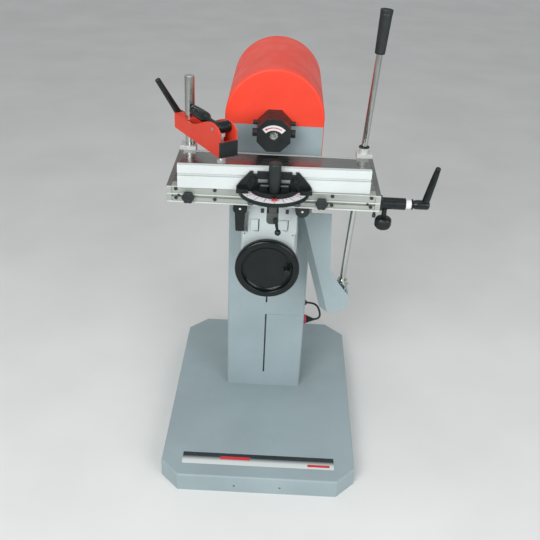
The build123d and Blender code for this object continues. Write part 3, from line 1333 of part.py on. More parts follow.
def swing_back_plate():
    """Upright plate of the swing bracket, bolted to the fence."""
    z0 = SWING_BOTTOM
    y0 = FENCE_FACE - SWING_THICK
    right = [
        (SWING_HALF_BOTTOM, z0), (SWING_HALF_BOTTOM, SWING_END_TOP),
        (SWING_HALF_MIDDLE, SWING_MIDDLE), (SWING_HALF_TOP, SWING_TOP),
    ]
    outline = right + [(-x, z) for x, z in reversed(right)]
    body = slab_xz([(SLIDE_X + x, z) for x, z in outline], y0, FENCE_FACE)
    for side in (-1, 1):
        x0 = SLIDE_X + side * SWING_NOTCH_X - SWING_NOTCH_HALF
        x1 = x0 + 2 * SWING_NOTCH_HALF
        body -= block(x0, x1, y0 - 1, FENCE_FACE + 1, SWING_TOP - SWING_NOTCH_DEPTH, SWING_TOP + 1)
    return body


def swing_plate():
    """Half-round plate that turns on the protractor, with its lip and guide tongue."""
    z0 = SWING_BOTTOM
    top = z0 + SWING_PLATE
    body = front_ring(SWING_PLATE_RADIUS, 0, z0, top)
    body += front_ring(SWING_PLATE_RADIUS, SWING_PLATE_RADIUS - SWING_LIP, top - 1, top + SWING_LIP_RISE)
    low = DIAL_BOTTOM + DIAL_FLOOR + GAP
    tongue = front_ring(DIAL_INNER - RUN, DIAL_RIB_OUTER + RUN, low, z0 + 1)
    reach = DIAL_RADIUS
    wedge = [(0, 0), (-reach, -TONGUE_SLOPE * reach), (reach, -TONGUE_SLOPE * reach)]
    body += tongue & slab_xy([(SLIDE_X + x, PIVOT_Y + y) for x, y in wedge], low, z0 + 1)
    root = POINTER_ROOT_HALF
    tip = POINTER_TIP_HALF
    pointer = [(-root, -POINTER_START), (root, -POINTER_START), (tip, -POINTER_REACH), (-tip, -POINTER_REACH)]
    return body + slab_xy([(SLIDE_X + x, PIVOT_Y + y) for x, y in pointer], z0, z0 + POINTER_THICK)


def swing_bracket():
    """Black bracket that joins the fence to the protractor and carries the pointer."""
    z0 = SWING_BOTTOM
    y0 = FENCE_FACE - SWING_THICK
    body = swing_back_plate() + swing_plate()
    half = SWING_SHELF_HALF
    body += block(SLIDE_X - half, SLIDE_X + half, y0 - SWING_SHELF_REACH, y0 + 1, z0, SWING_SHELF_TOP)
    width = SWING_HALF_BOTTOM - SWING_EAR_INNER
    for side in (-1, 1):
        x0 = SLIDE_X + min(side * SWING_EAR_INNER, side * SWING_HALF_BOTTOM)
        body += block(x0, x0 + width, y0 - SWING_EAR_REACH, y0 + 1, z0, SWING_END_TOP)
    y = PIVOT_Y - HANDLE_OFFSET
    clearance = HANDLE_RADIUS + HANDLE_CLEARANCE
    body -= rod_z(z0 + SWING_PLATE, SWING_TOP + 1, SLIDE_X, y, clearance)
    return swung(body - rod_z(z0 - 1, SWING_TOP, SLIDE_X, y, HANDLE_STUD_RADIUS + RUN))


def gauge_handle():
    """Upright handle whose stud clamps the swing bracket to the protractor."""
    y = PIVOT_Y - HANDLE_OFFSET
    z0 = SWING_BOTTOM + SWING_PLATE + GAP
    body = taper_z(z0, HANDLE_NECK_TOP, SLIDE_X, y, HANDLE_NECK, HANDLE_RADIUS)
    upper = rod_z(HANDLE_NECK_TOP, HANDLE_TOP, SLIDE_X, y, HANDLE_RADIUS)
    body += fillet(upper.edges().group_by(Axis.Z)[-1], HANDLE_ROUND)
    low = DIAL_BOTTOM + DIAL_FLOOR + GAP
    body += rod_z(low, z0 + 1, SLIDE_X, y, HANDLE_STUD_RADIUS)
    return swung(body + rod_z(low, SWING_BOTTOM - GAP, SLIDE_X, y, HANDLE_FOOT_RADIUS))


def ball_lever():
    """Small ball-ended clamp lever on the gauge bracket."""
    x = BALL_LEVER_X - BALL_SHIFT
    z = BALL_LEVER_Z + BALL_SHIFT
    y1 = BRACKET_FRONT - GAP
    body = rod_y(y1 - BALL_HUB_LENGTH, y1, x, z, BALL_HUB_RADIUS)
    body += rod_y(y1 - 1, y1 + BALL_PIN_LENGTH, x, z, BALL_PIN_RADIUS)
    end = (BALL_LEVER_X, y1 - BALL_SET, BALL_END_Z)
    body += bar_between((x, y1 - BALL_ARM_SET, z), end, BALL_ARM_ROOT, BALL_ARM_TIP)
    return body + Pos(*end) * Sphere(BALL_END_RADIUS)


def star_knob(x):
    """Small six-lobed knob with its stud in the rail."""
    y1 = TABLE_FRONT - GAP
    y0 = y1 - STAR_THICK
    body = rod_y(y0, y1 - STAR_BACK_STEP, x, STAR_Z, STAR_RADIUS)
    body = fillet(body.edges().group_by(Axis.Y)[0], STAR_EDGE)
    centre = STAR_RADIUS + STAR_FLUTE_OFFSET
    for n in range(STAR_LOBES):
        a = math.radians((n + 0.5) * 360 / STAR_LOBES)
        cx = x + centre * math.cos(a)
        cz = STAR_Z + centre * math.sin(a)
        body -= rod_y(y0 - 1, y1, cx, cz, STAR_FLUTE_RADIUS)
    body += rod_y(y1 - STAR_BACK_STEP - 1, y1, x, STAR_Z, STAR_HUB_RADIUS)
    stud_end = TABLE_FRONT + RAIL_GROOVE_DEPTH - STAR_STUD_GAP
    return body + rod_y(y1 - 1, stud_end, x, STAR_Z, STAR_STUD_RADIUS)


def arm_frame():
    """The clamp arm's own frame: X runs from the post to the foot."""
    return Pos(POST_X, POST_Y, 0) * Rot(0, 0, ARM_ANGLE)


def clamp_post():
    """Ground post with a chamfered top."""
    post = rod_z(POST_BOTTOM, POST_TOP, POST_X, POST_Y, POST_RADIUS)
    return chamfer(post.edges().group_by(Axis.Z)[-1], POST_EDGE)


def ear_outline():
    """Side view of the arm's cheek, which rises in an arch over the cam pin."""
    start = ARM_BLOCK_END - 2
    points = [(start, ARM_BOTTOM), (ARM_REACH, ARM_BOTTOM)]
    for n in range(EAR_STEPS + 1):
        along = (ARM_REACH - FOOT_REACH) * (1 - n / EAR_STEPS)
        rise = EAR_RISE * math.sqrt(1 - (along / EAR_FRONT_LENGTH) ** 2)
        points.append((FOOT_REACH + along, ARM_TOP + rise))
    for n in range(1, EAR_STEPS + 1):
        share = n / EAR_STEPS
        rise = EAR_RISE * (1 + math.cos(math.pi * share)) / 2
        points.append((FOOT_REACH - share * EAR_BACK_LENGTH, ARM_TOP + rise))
    return points + [(start, ARM_TOP)]


def clamp_arm():
    """Red channel arm: split block at the post, two cheeks and a floor."""
    half = ARM_WIDTH / 2
    body = block(ARM_BACK, ARM_BLOCK_END, -half, half, ARM_BOTTOM, ARM_TOP)
    for side in (-1, 1):
        y0 = min(side * half, side * (half - ARM_SIDE))
        body += slab_xz(ear_outline(), y0, y0 + ARM_SIDE)
    body += block(ARM_BLOCK_END - 1, ARM_REACH, -half, half, ARM_BOTTOM, ARM_BOTTOM + ARM_WEB)
    body += rod_z(ARM_BOTTOM, ARM_BOTTOM + ARM_BOSS_HEIGHT, FOOT_REACH, 0, ARM_BOSS_RADIUS)
    body += block(ARM_REACH - ARM_NOSE, ARM_REACH, -half, half, ARM_BOTTOM, ARM_TOP)
    body -= rod_z(ARM_BOTTOM - 1, ARM_BOTTOM + ARM_BOSS_HEIGHT + 1, FOOT_REACH, 0, FOOT_ROD_RADIUS + RUN)
    body -= rod_z(ARM_BOTTOM - 1, ARM_TOP + 1, 0, 0, POST_RADIUS + RUN)
    body -= rod_x(ARM_BACK - 1, -POST_RADIUS - ARM_SPLIT_WALL, 0, LOCK_HUB_Z, ARM_SCREW_RADIUS + RUN)
    body -= rod_y(-half - 1, half + 1, FOOT_REACH, CAM_Z, CAM_PIN_RADIUS + RUN)
    return arm_frame() * body


def arm_cap():
    """Black end cap of the clamp arm."""
    half = ARM_WIDTH / 2
    cap = block(ARM_REACH, ARM_REACH + ARM_CAP, -half, half, ARM_BOTTOM, ARM_TOP)
    return arm_frame() * fillet(cap.faces().sort_by(Axis.X)[-1].edges(), ARM_CAP_EDGE)


def clamp_lock_lever():
    """Adjustable lever whose screw clamps the arm to the post."""
    x1 = ARM_BACK - GAP
    body = rod_x(x1 - LOCK_HUB_LENGTH, x1, 0, LOCK_HUB_Z, LOCK_HUB_RADIUS)
    body = fillet(body.edges().group_by(Axis.X)[0], LOCK_HUB_ROUND)
    screw_end = -POST_RADIUS - ARM_SPLIT_WALL - ARM_SCREW_GAP
    body += rod_x(x1 - 1, screw_end, 0, LOCK_HUB_Z, ARM_SCREW_RADIUS)
    back, side, rise = LOCK_ARM
    root = (x1 - LOCK_HUB_LENGTH / 2, 0, LOCK_HUB_Z)
    tip = (x1 - LOCK_HUB_LENGTH / 2 - back, side, LOCK_HUB_Z + rise)
    body += bar_between(root, tip, LOCK_ARM_ROOT, LOCK_ARM_TIP)
    body += Pos(*tip) * Sphere(LOCK_ARM_TIP)
    return arm_frame() * body


def cam_lever():
    """Cam with its neck and thick grip, on a pin through the arm's ears."""
    a = math.radians(CAM_OFFSET_ANGLE)
    x = FOOT_REACH + CAM_OFFSET * math.cos(a)
    z = CAM_Z + CAM_OFFSET * math.sin(a)
    half = CAM_WIDTH / 2
    body = rod_y(-half, half, x, z, CAM_RADIUS)
    pin = ARM_WIDTH / 2 + CAM_PIN_STICK
    body += rod_y(-pin, pin, FOOT_REACH, CAM_Z, CAM_PIN_RADIUS)
    body += rod_x(CAM_GRIP_START - 2, FOOT_REACH, 0, CAM_Z, CAM_NECK_RADIUS)
    grip = rod_x(CAM_GRIP_END, CAM_GRIP_START, 0, CAM_Z, CAM_GRIP_RADIUS)
    body += fillet(grip.edges().filter_by(GeomType.CIRCLE), CAM_GRIP_ROUND)
    return arm_frame() * body


def clamp_foot():
    """Plunger with its head and pad, pushed down by the cam."""
    head_top = CAM_Z + CAM_OFFSET * math.sin(math.radians(CAM_OFFSET_ANGLE)) - CAM_RADIUS - GAP
    body = rod_z(FOOT_PAD_TOP - 1, head_top - FOOT_HEAD_OVERLAP, FOOT_REACH, 0, FOOT_ROD_RADIUS)
    body += rod_z(head_top - FOOT_HEAD_THICK, head_top, FOOT_REACH, 0, FOOT_HEAD_RADIUS)
    body += rod_z(FOOT_PAD_BOTTOM, FOOT_PAD_TOP, FOOT_REACH, 0, FOOT_PAD_RADIUS)
    return arm_frame() * body


def lever_frame():
    """The joystick's own frame: origin at the lower joint, Z up the rod."""
    tilt = math.degrees(math.atan(LEVER_LEAN))
    return Pos(LEVER_PIVOT_X, LEVER_Y, PIVOT_Z) * Rot(0, tilt, 0)


def lever_length(z):
    """How far along the rod height z is."""
    return (z - PIVOT_Z) * math.sqrt(1 + LEVER_LEAN**2)


def lever_cross():
    """Cross of the universal joint under the joystick."""
    c = CROSS_HALF
    x = LEVER_PIVOT_X
    body = block(x - c, x + c, LEVER_Y - c, LEVER_Y + c, PIVOT_Z - c, PIVOT_Z + c)
    body += rod_x(x - CROSS_PIN_REACH, x + CROSS_PIN_REACH, LEVER_Y, PIVOT_Z, CROSS_PIN_RADIUS)
    return body + rod_y(LEVER_Y - FORK_OUTER, LEVER_Y + FORK_OUTER, x, PIVOT_Z, CROSS_PIN_RADIUS)


def lever_rod():
    """Chrome joystick rod with a fork on the cross."""
    body = rod_z(ROD_START, lever_length(GRIP_BOTTOM_Z) + GRIP_DEPTH, 0, 0, LEVER_RADIUS)
    body += rod_z(FORK_BASE, FORK_TOP, 0, 0, FORK_OUTER)
    body = chamfer(body.edges().filter_by(GeomType.CIRCLE).group_by(Axis.Z)[-1], ROD_EDGE)
    for side in (-1, 1):
        y0 = min(side * (FORK_OUTER - FORK_TINE), side * FORK_OUTER)
        tine = block(-FORK_RADIUS, FORK_RADIUS, y0, y0 + FORK_TINE, 0, ROD_START)
        body += tine + rod_y(y0, y0 + FORK_TINE, 0, 0, FORK_RADIUS)
    body -= rod_y(-FORK_OUTER - 1, FORK_OUTER + 1, 0, 0, CROSS_PIN_RADIUS + RUN)
    return lever_frame() * body


def lever_grip():
    """Black grip at the top of the joystick."""
    z0 = lever_length(GRIP_BOTTOM_Z)
    z1 = lever_length(GRIP_TOP_Z)
    neck = z0 + GRIP_NECK
    grip = taper_z(neck, z1, 0, 0, GRIP_BASE_RADIUS, GRIP_HEAD_RADIUS)
    grip = fillet(grip.edges().group_by(Axis.Z)[-1], GRIP_HEAD_ROUND)
    grip += taper_z(z0, neck, 0, 0, GRIP_BASE_RADIUS - GRIP_NECK_STEP, GRIP_BASE_RADIUS)
    return lever_frame() * (grip - rod_z(z0 - 1, z0 + GRIP_DEPTH, 0, 0, LEVER_RADIUS))


def switch_box():
    """Switch box on the rear plate of the head."""
    y0 = HEAD_BACK - GRILLE_INSET + GRILLE_THICK
    x0 = SWITCH_X - SWITCH_WIDTH / 2
    x1 = SWITCH_X + SWITCH_WIDTH / 2
    z0 = SWITCH_Z - SWITCH_HEIGHT / 2
    z1 = SWITCH_Z + SWITCH_HEIGHT / 2
    body = block(x0, x1, y0, y0 + SWITCH_DEPTH, z0, z1)
    body = fillet(body.edges().filter_by(Axis.Y), SWITCH_EDGE)
    y1 = y0 + SWITCH_DEPTH
    return body - rod_y(y1 - SWITCH_SOCKET_DEPTH, y1 + 1, SWITCH_X, SWITCH_Z, SWITCH_STEM_RADIUS + RUN)


def switch_knob():
    """Rotary switch knob with a raised grip bar."""
    y1 = HEAD_BACK - GRILLE_INSET + GRILLE_THICK + SWITCH_DEPTH
    disc_top = y1 + SWITCH_DISC_TOP
    body = rod_y(y1 - SWITCH_STEM_DEPTH, y1 + 1, SWITCH_X, SWITCH_Z, SWITCH_STEM_RADIUS)
    body += rod_y(y1 + GAP, disc_top, SWITCH_X, SWITCH_Z, SWITCH_KNOB_RADIUS)
    reach = SWITCH_KNOB_RADIUS - 1
    y2 = y1 + SWITCH_KNOB_LENGTH
    half = SWITCH_BAR_HALF
    bar = block(SWITCH_X - half, SWITCH_X + half, disc_top - 1, y2, SWITCH_Z - reach, SWITCH_Z + reach)
    return body + bar


def cord_radii(points):
    """Bend radius at each inner point, from its shorter run and its turn."""
    radii = []
    for a, b, c in zip(points, points[1:], points[2:]):
        u = Vector(*b) - Vector(*a)
        v = Vector(*c) - Vector(*b)
        half = math.radians(u.get_angle(v)) / 2
        radii.append(0.45 * min(u.length, v.length) / math.tan(half))
    return radii


def power_cord():
    """The free power lead as one tube along its route."""
    points = CORD_ROUTE
    radii = cord_radii(points)
    print("cord radii", [round(r, 1) for r in radii])
    path = FilletPolyline(*points, radius=radii)
    print("cord length", round(path.length, 1))
    section = Plane(origin=points[0], z_dir=(1, 0, 0)) * Circle(CORD_RADIUS)
    return sweep(section, path=path)


def cord_gland():
    """Cable gland screwed into the column's side."""
    s = COLUMN_SIDE
    body = rod_x(s - COLUMN_SHEET - GLAND_DEPTH, s + 1, GLAND_Y, GLAND_Z, CORD_RADIUS + GLAND_WALL)
    nut = Pos(s, GLAND_Y, GLAND_Z) * Rot(0, 90, 0) * extrude(RegularPolygon(GLAND_HEX_RADIUS, 6), GLAND_NUT)
    cap = Pos(s + GLAND_NUT, GLAND_Y, GLAND_Z) * Rot(0, 90, 0)
    height = GLAND_REACH - GLAND_NUT
    cap *= Cone(GLAND_CAP_ROOT, GLAND_CAP_TIP, height, align=(Align.CENTER, Align.CENTER, Align.MIN))
    return body + nut + cap


def plug():
    """Parked plug: body, boot and pins through the column's side."""
    s = COLUMN_SIDE
    body = rod_x(s, s + PLUG_BODY_LENGTH, PLUG_Y, PLUG_Z, PLUG_RADIUS)
    body = fillet(body.edges().filter_by(GeomType.CIRCLE).group_by(Axis.X)[-1], PLUG_EDGE)
    boot = Pos(s + PLUG_BODY_LENGTH, PLUG_Y, PLUG_Z) * Rot(0, 90, 0)
    tip = CORD_RADIUS + PLUG_BOOT_WALL
    boot *= Cone(PLUG_BOOT_RADIUS, tip, PLUG_BOOT_LENGTH, align=(Align.CENTER, Align.CENTER, Align.MIN))
    body += boot
    for n in range(PLUG_PINS):
        a = math.radians((n + 0.5) * 360 / PLUG_PINS)
        y = PLUG_Y + PLUG_PIN_CIRCLE * math.cos(a)
        z = PLUG_Z + PLUG_PIN_CIRCLE * math.sin(a)
        body += rod_x(s - PLUG_PIN_LENGTH, s + 1, y, z, PLUG_PIN_RADIUS)
    return body


NODES = {
    "base_tray": base_tray,
    "column_shell": column_shell,
    "column_ways": column_ways,
    "lift_nut": lift_nut,
    "head_frame": head_frame,
    "hood": hood,
    "hood_grille": hood_grille,
    "motor_housing": motor_housing,
    "stator": stator,
    "bearing_rings": bearing_rings,
    "spindle_shaft": spindle_shaft,
    "rotor_core": rotor_core,
    "fan": fan,
    "chuck_body": chuck_body,
    "chuck_jaw_left": lambda: chuck_jaw(-1),
    "chuck_jaw_right": lambda: chuck_jaw(1),
    "chuck_guard": chuck_guard,
    "knee_body": knee_body,
    "keeper_plates": keeper_plates,
    "cross_way": cross_way,
    "lever_arm": lever_arm,
    "handwheel": handwheel,
    "wheel_shaft": wheel_shaft,
    "wheel_grip": wheel_grip,
    "lift_screw": lift_screw,
    "cross_carriage": cross_carriage,
    "lock_lever": lock_lever,
    "lock_knob": lock_knob,
    "table_top": table_top,
    "front_rail": front_rail,
    "end_plates": end_plates,
    "x_rods": x_rods,
    "post_block": post_block,
    "guide_block": guide_block,
    "rail_bolts": rail_bolts,
    "stop_holder": stop_holder,
    "stop_rod": stop_rod,
    "stop_lever": stop_lever,
    "stop_knob": stop_knob,
    "gauge_bracket": gauge_bracket,
    "fence": fence,
    "swing_bracket": swing_bracket,
    "gauge_handle": gauge_handle,
    "ball_lever": ball_lever,
    "star_knob_left": lambda: star_knob(STAR_X[0]),
    "star_knob_right": lambda: star_knob(STAR_X[1]),
    "clamp_post": clamp_post,
    "clamp_arm": clamp_arm,
    "arm_cap": arm_cap,
    "clamp_lock_lever": clamp_lock_lever,
    "cam_lever": cam_lever,
    "clamp_foot": clamp_foot,
    "lever_cross": lever_cross,
    "lever_rod": lever_rod,
    "lever_grip": lever_grip,
    "switch_box": switch_box,
    "switch_knob": switch_knob,
    "power_cord": power_cord,
    "cord_gland": cord_gland,
    "plug": plug,
}

os.makedirs("parts", exist_ok=True)
for name, make in NODES.items():
    export_step(make(), f"parts/{name}.step")
print("nodes", len(NODES))
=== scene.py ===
import json
import math

import bmesh
import bpy
from mathutils import Matrix, Vector


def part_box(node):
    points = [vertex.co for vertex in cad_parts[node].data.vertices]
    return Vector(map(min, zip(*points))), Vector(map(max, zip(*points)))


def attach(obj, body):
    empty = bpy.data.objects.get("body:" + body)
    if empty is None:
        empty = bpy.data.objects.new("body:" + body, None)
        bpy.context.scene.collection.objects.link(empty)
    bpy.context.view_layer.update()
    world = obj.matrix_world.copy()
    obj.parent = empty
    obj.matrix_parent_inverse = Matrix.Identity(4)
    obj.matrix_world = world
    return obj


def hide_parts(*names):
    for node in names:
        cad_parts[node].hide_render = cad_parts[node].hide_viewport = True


# Slot mortiser: its finishes and its modelled pieces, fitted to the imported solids.
# Pieces are given in millimetres. The camera, the cord's route, the finishes and the room are in metres.

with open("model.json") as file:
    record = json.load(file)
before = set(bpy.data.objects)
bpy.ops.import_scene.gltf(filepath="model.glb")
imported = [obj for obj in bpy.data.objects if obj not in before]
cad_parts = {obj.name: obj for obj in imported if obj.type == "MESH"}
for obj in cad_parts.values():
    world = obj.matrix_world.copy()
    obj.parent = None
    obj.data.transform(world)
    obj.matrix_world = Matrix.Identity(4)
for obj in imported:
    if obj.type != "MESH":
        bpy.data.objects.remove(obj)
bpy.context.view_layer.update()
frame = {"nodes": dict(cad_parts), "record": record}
nodes = frame["nodes"]
joints = {joint["name"]: joint for joint in frame["record"]["behaviour"]["joints"]}
bpy.ops.object.select_all(action="DESELECT")

# Camera at the photograph's viewing angle
CAMERA_PLACE = (0.018, -1.8353, 1.5881)
CAMERA_YAW = math.radians(-0.368)
CAMERA_PITCH = math.radians(30.628)
CAMERA_ROLL = math.radians(2.694)
SENSOR_WIDTH = 36
IMAGE_WIDTH = 540
FOCAL_PIXELS = 733.8


def aim_camera():
    """Sets the camera at the photograph's place and angle."""
    data = bpy.data.cameras.new("camera")
    data.lens = FOCAL_PIXELS / IMAGE_WIDTH * SENSOR_WIDTH
    data.sensor_width = SENSOR_WIDTH
    camera = bpy.data.objects.new("camera", data)
    bpy.context.scene.collection.objects.link(camera)
    flat = math.cos(CAMERA_PITCH)
    forward = Vector((math.sin(CAMERA_YAW) * flat, math.cos(CAMERA_YAW) * flat, -math.sin(CAMERA_PITCH)))
    side = Vector((math.cos(CAMERA_YAW), -math.sin(CAMERA_YAW), 0))
    above = side.cross(forward)
    right = side * math.cos(CAMERA_ROLL) + above * math.sin(CAMERA_ROLL)
    up = above * math.cos(CAMERA_ROLL) - side * math.sin(CAMERA_ROLL)
    turn = Matrix((right, up, -forward)).transposed()
    camera.matrix_world = Matrix.Translation(CAMERA_PLACE) @ turn.to_4x4()
    bpy.context.scene.camera = camera


# Places read from the frame, in millimetres
FORWARD = (0, -1, 0)
UPWARD = (0, 0, 1)
RIGHTWARD = (1, 0, 0)


def face(node, side):
    """Where a node ends on a side such as +x or -z."""
    low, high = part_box(node)
    corner = high if side[0] == "+" else low
    return round(corner["xyz".index(side[1])] * 1000, 2)


def middle(node, axis):
    """The middle of a node along x, y or z."""
    return (face(node, "-" + axis) + face(node, "+" + axis)) / 2


def pivot(joint):
    """A point on a joint's axis."""
    return tuple(round(value * 1000, 3) for value in joints[joint]["pos_m"])


def at_depth(place, depth):
    """A place moved along Y to a depth."""
    return (place[0], depth, place[2])


# Finishes
# Most of a noise lies between these two values, so spread takes them as its usual start and end.
NOISE_LOW = 0.35
NOISE_HIGH = 0.65
EVEN = (1, 1, 1)


def new_finish(name):
    """A fresh material with its shader and its Object coordinates."""
    finish = bpy.data.materials.new(name)
    finish.use_nodes = True
    tree = finish.node_tree
    shader = tree.nodes["Principled BSDF"]
    place = tree.nodes.new("ShaderNodeTexCoord").outputs["Object"]
    return finish, tree, shader, place


def noise(tree, place, scale, detail=4.0, stretch=EVEN):
    """Noise on Object coordinates, optionally stretched along an axis."""
    if stretch != EVEN:
        mapping = tree.nodes.new("ShaderNodeMapping")
        mapping.inputs["Scale"].default_value = stretch
        tree.links.new(place, mapping.inputs["Vector"])
        place = mapping.outputs["Vector"]
    node = tree.nodes.new("ShaderNodeTexNoise")
    node.inputs["Scale"].default_value = scale
    node.inputs["Detail"].default_value = detail
    tree.links.new(place, node.inputs["Vector"])
    return node.outputs["Fac"]


def spread(tree, value, low=0.0, high=1.0, start=NOISE_LOW, end=NOISE_HIGH):
    """Stretches a value from start..end to low..high."""
    node = tree.nodes.new("ShaderNodeMapRange")
    node.inputs["From Min"].default_value = start
    node.inputs["From Max"].default_value = end
    node.inputs["To Min"].default_value = low
    node.inputs["To Max"].default_value = high
    tree.links.new(value, node.inputs["Value"])
    return node.outputs["Result"]


def tinted(colour, share, lift=0.0):
    """A colour made darker or lighter by a share and a lift."""
    return tuple(min(1.0, value * share + lift) for value in colour)


def mixed(tree, amount, first, second):
    """Mixes two colours, each a colour or a socket, by a socket's amount."""
    node = tree.nodes.new("ShaderNodeMix")
    node.data_type = "RGBA"
    tree.links.new(amount, node.inputs["Factor"])
    for key, value in (("A", first), ("B", second)):
        socket = [s for s in node.inputs if s.name == key and s.type == "RGBA"][0]
        if isinstance(value, tuple):
            socket.default_value = (*value, 1)
        else:
            tree.links.new(value, socket)
    return [s for s in node.outputs if s.type == "RGBA"][0]


def wear_and_highlight_edge(tree, radius, start=0.02, end=0.25):
    """A mask that is 1 along sharp edges, used for worn paint and for painted edge highlights."""
    bevel = tree.nodes.new("ShaderNodeBevel")
    bevel.samples = 4
    bevel.inputs["Radius"].default_value = radius
    geometry = tree.nodes.new("ShaderNodeNewGeometry")
    dot = tree.nodes.new("ShaderNodeVectorMath")
    dot.operation = "DOT_PRODUCT"
    tree.links.new(bevel.outputs["Normal"], dot.inputs[0])
    tree.links.new(geometry.outputs["Normal"], dot.inputs[1])
    return spread(tree, dot.outputs["Value"], low=1.0, high=0.0, start=1 - end, end=1 - start)


def patched(tree, mask, patches):
    """A mask kept only where patches are."""
    product = tree.nodes.new("ShaderNodeMath")
    product.operation = "MULTIPLY"
    tree.links.new(mask, product.inputs[0])
    tree.links.new(patches, product.inputs[1])
    return product.outputs["Value"]


def coloured(tree, shader, colour):
    """Gives the shader its colour."""
    tree.links.new(colour, shader.inputs["Base Color"])


def roughened(tree, shader, marks, low, high):
    """Lets the roughness follow marks, between two values."""
    tree.links.new(spread(tree, marks, low, high), shader.inputs["Roughness"])


def bump(tree, shader, height, strength, distance):
    """Adds a bump to the shader's normal."""
    node = tree.nodes.new("ShaderNodeBump")
    node.inputs["Strength"].default_value = strength
    node.inputs["Distance"].default_value = distance
    tree.links.new(height, node.inputs["Height"])
    tree.links.new(node.outputs["Normal"], shader.inputs["Normal"])


def painted(name, colour, edge, rough=0.38, grain=420.0, wear=0.55, coat=0.15):
    """Sprayed paint: faint cloudiness, orange peel, dust and worn edges."""
    finish, tree, shader, place = new_finish(name)
    cloud = spread(tree, noise(tree, place, scale=5.0, detail=5.0))
    body = mixed(tree, cloud, tinted(colour, 0.93), tinted(colour, 1.05))
    specks = noise(tree, place, scale=160.0, detail=2.0)
    body = mixed(tree, spread(tree, specks, high=0.12, start=0.62, end=0.75), body, tinted(colour, 0.55))
    if wear:
        patches = spread(tree, noise(tree, place, scale=60.0, detail=3.0), start=0.4, end=0.6)
        edges = patched(tree, wear_and_highlight_edge(tree, radius=0.0012), patches)
        body = mixed(tree, spread(tree, edges, high=wear, start=0.1, end=1.0), body, edge)
    coloured(tree, shader, body)
    roughened(tree, shader, noise(tree, place, scale=14.0, detail=6.0), rough - 0.06, rough + 0.1)
    shader.inputs["Coat Weight"].default_value = coat
    shader.inputs["Coat Roughness"].default_value = 0.25
    shader.inputs["Specular IOR Level"].default_value = 0.3
    bump(tree, shader, noise(tree, place, scale=grain, detail=2.0), strength=0.12, distance=0.0004)
    return finish


def metal(name, colour, rough, stretch=EVEN, scratch=0.06, grain=260.0, shine=1.0):
    """Bare metal: tone and roughness follow fine tool marks."""
    finish, tree, shader, place = new_finish(name)
    shader.inputs["Metallic"].default_value = shine
    marks = noise(tree, place, scale=grain, detail=6.0, stretch=stretch)
    tone = spread(tree, noise(tree, place, scale=9.0, detail=5.0))
    body = mixed(tree, tone, tinted(colour, 0.82), colour)
    body = mixed(tree, spread(tree, marks, high=0.35), body, tinted(colour, 1.18))
    coloured(tree, shader, body)
    roughened(tree, shader, marks, rough - scratch, rough + scratch)
    bump(tree, shader, marks, strength=0.08, distance=0.0002)
    return finish


def moulded(name, colour, rough=0.42, grain=900.0, pits=0.2, shine=0.35):
    """Moulded plastic: fine spark texture, and lighter edges that are partly scuffs and partly a painted
    highlight.
    """
    finish, tree, shader, place = new_finish(name)
    tone = spread(tree, noise(tree, place, scale=30.0))
    body = mixed(tree, tone, colour, tinted(colour, 1.5))
    # Lighter edges: scuffs, and a painted highlight where light catches the edges.
    scuffs_and_edge_glint = spread(tree, wear_and_highlight_edge(tree, radius=0.0008), high=0.4, start=0.2, end=1.0)
    body = mixed(tree, scuffs_and_edge_glint, body, tinted(colour, 3.0, lift=0.02))
    coloured(tree, shader, body)
    roughened(tree, shader, noise(tree, place, scale=45.0, detail=5.0), rough - 0.08, rough + 0.12)
    shader.inputs["Specular IOR Level"].default_value = shine
    bump(tree, shader, noise(tree, place, scale=grain, detail=2.0), strength=pits, distance=0.0003)
    return finish


def cast(name, colour, rough=0.5, metallic=0.0, shine=0.5):
    """Painted casting: coarse sand texture under the paint, and a painted highlight along its edges."""
    finish, tree, shader, place = new_finish(name)
    shader.inputs["Metallic"].default_value = metallic
    shader.inputs["Specular IOR Level"].default_value = shine
    tone = spread(tree, noise(tree, place, scale=25.0, detail=6.0))
    body = mixed(tree, tone, tinted(colour, 0.8), colour)
    # Painted highlight: lighter edges stand in for glints along the casting's edges.
    edges = spread(tree, wear_and_highlight_edge(tree, radius=0.0012), high=0.5, start=0.2, end=1.0)
    body = mixed(tree, edges, body, tinted(colour, 1.5, lift=0.03))
    coloured(tree, shader, body)
    roughened(tree, shader, noise(tree, place, scale=60.0), rough - 0.08, rough + 0.12)
    bump(tree, shader, noise(tree, place, scale=330.0), strength=0.35, distance=0.0006)
    return finish


def printed(name, colour, rough=0.45):
    """Printed film: faint mottling, fine dust and a slight sheen."""
    finish, tree, shader, place = new_finish(name)
    tone = spread(tree, noise(tree, place, scale=90.0))
    body = mixed(tree, tone, tinted(colour, 0.9), colour)
    dust = noise(tree, place, scale=420.0, detail=2.0)
    body = mixed(tree, spread(tree, dust, high=0.25, start=0.6, end=0.75), body, tinted(colour, 0.6))
    coloured(tree, shader, body)
    roughened(tree, shader, noise(tree, place, scale=60.0), rough - 0.08, rough + 0.08)
    bump(tree, shader, noise(tree, place, scale=700.0, detail=2.0), strength=0.05, distance=0.0001)
    return finish


def shaded_band(name, back, front, y_back, y_front):
    """Film whose colour runs from one tone at the back to another at the front."""
    finish, tree, shader, place = new_finish(name)
    parts = tree.nodes.new("ShaderNodeSeparateXYZ")
    tree.links.new(place, parts.inputs["Vector"])
    body = mixed(tree, spread(tree, parts.outputs["Y"], start=y_back, end=y_front), back, front)
    dust = noise(tree, place, scale=260.0, detail=2.0)
    body = mixed(tree, spread(tree, dust, high=0.2, start=0.6, end=0.75), body, tinted(front, 0.7))
    coloured(tree, shader, body)
    roughened(tree, shader, noise(tree, place, scale=40.0), 0.3, 0.45)
    bump(tree, shader, noise(tree, place, scale=700.0, detail=2.0), strength=0.05, distance=0.0001)
    return finish


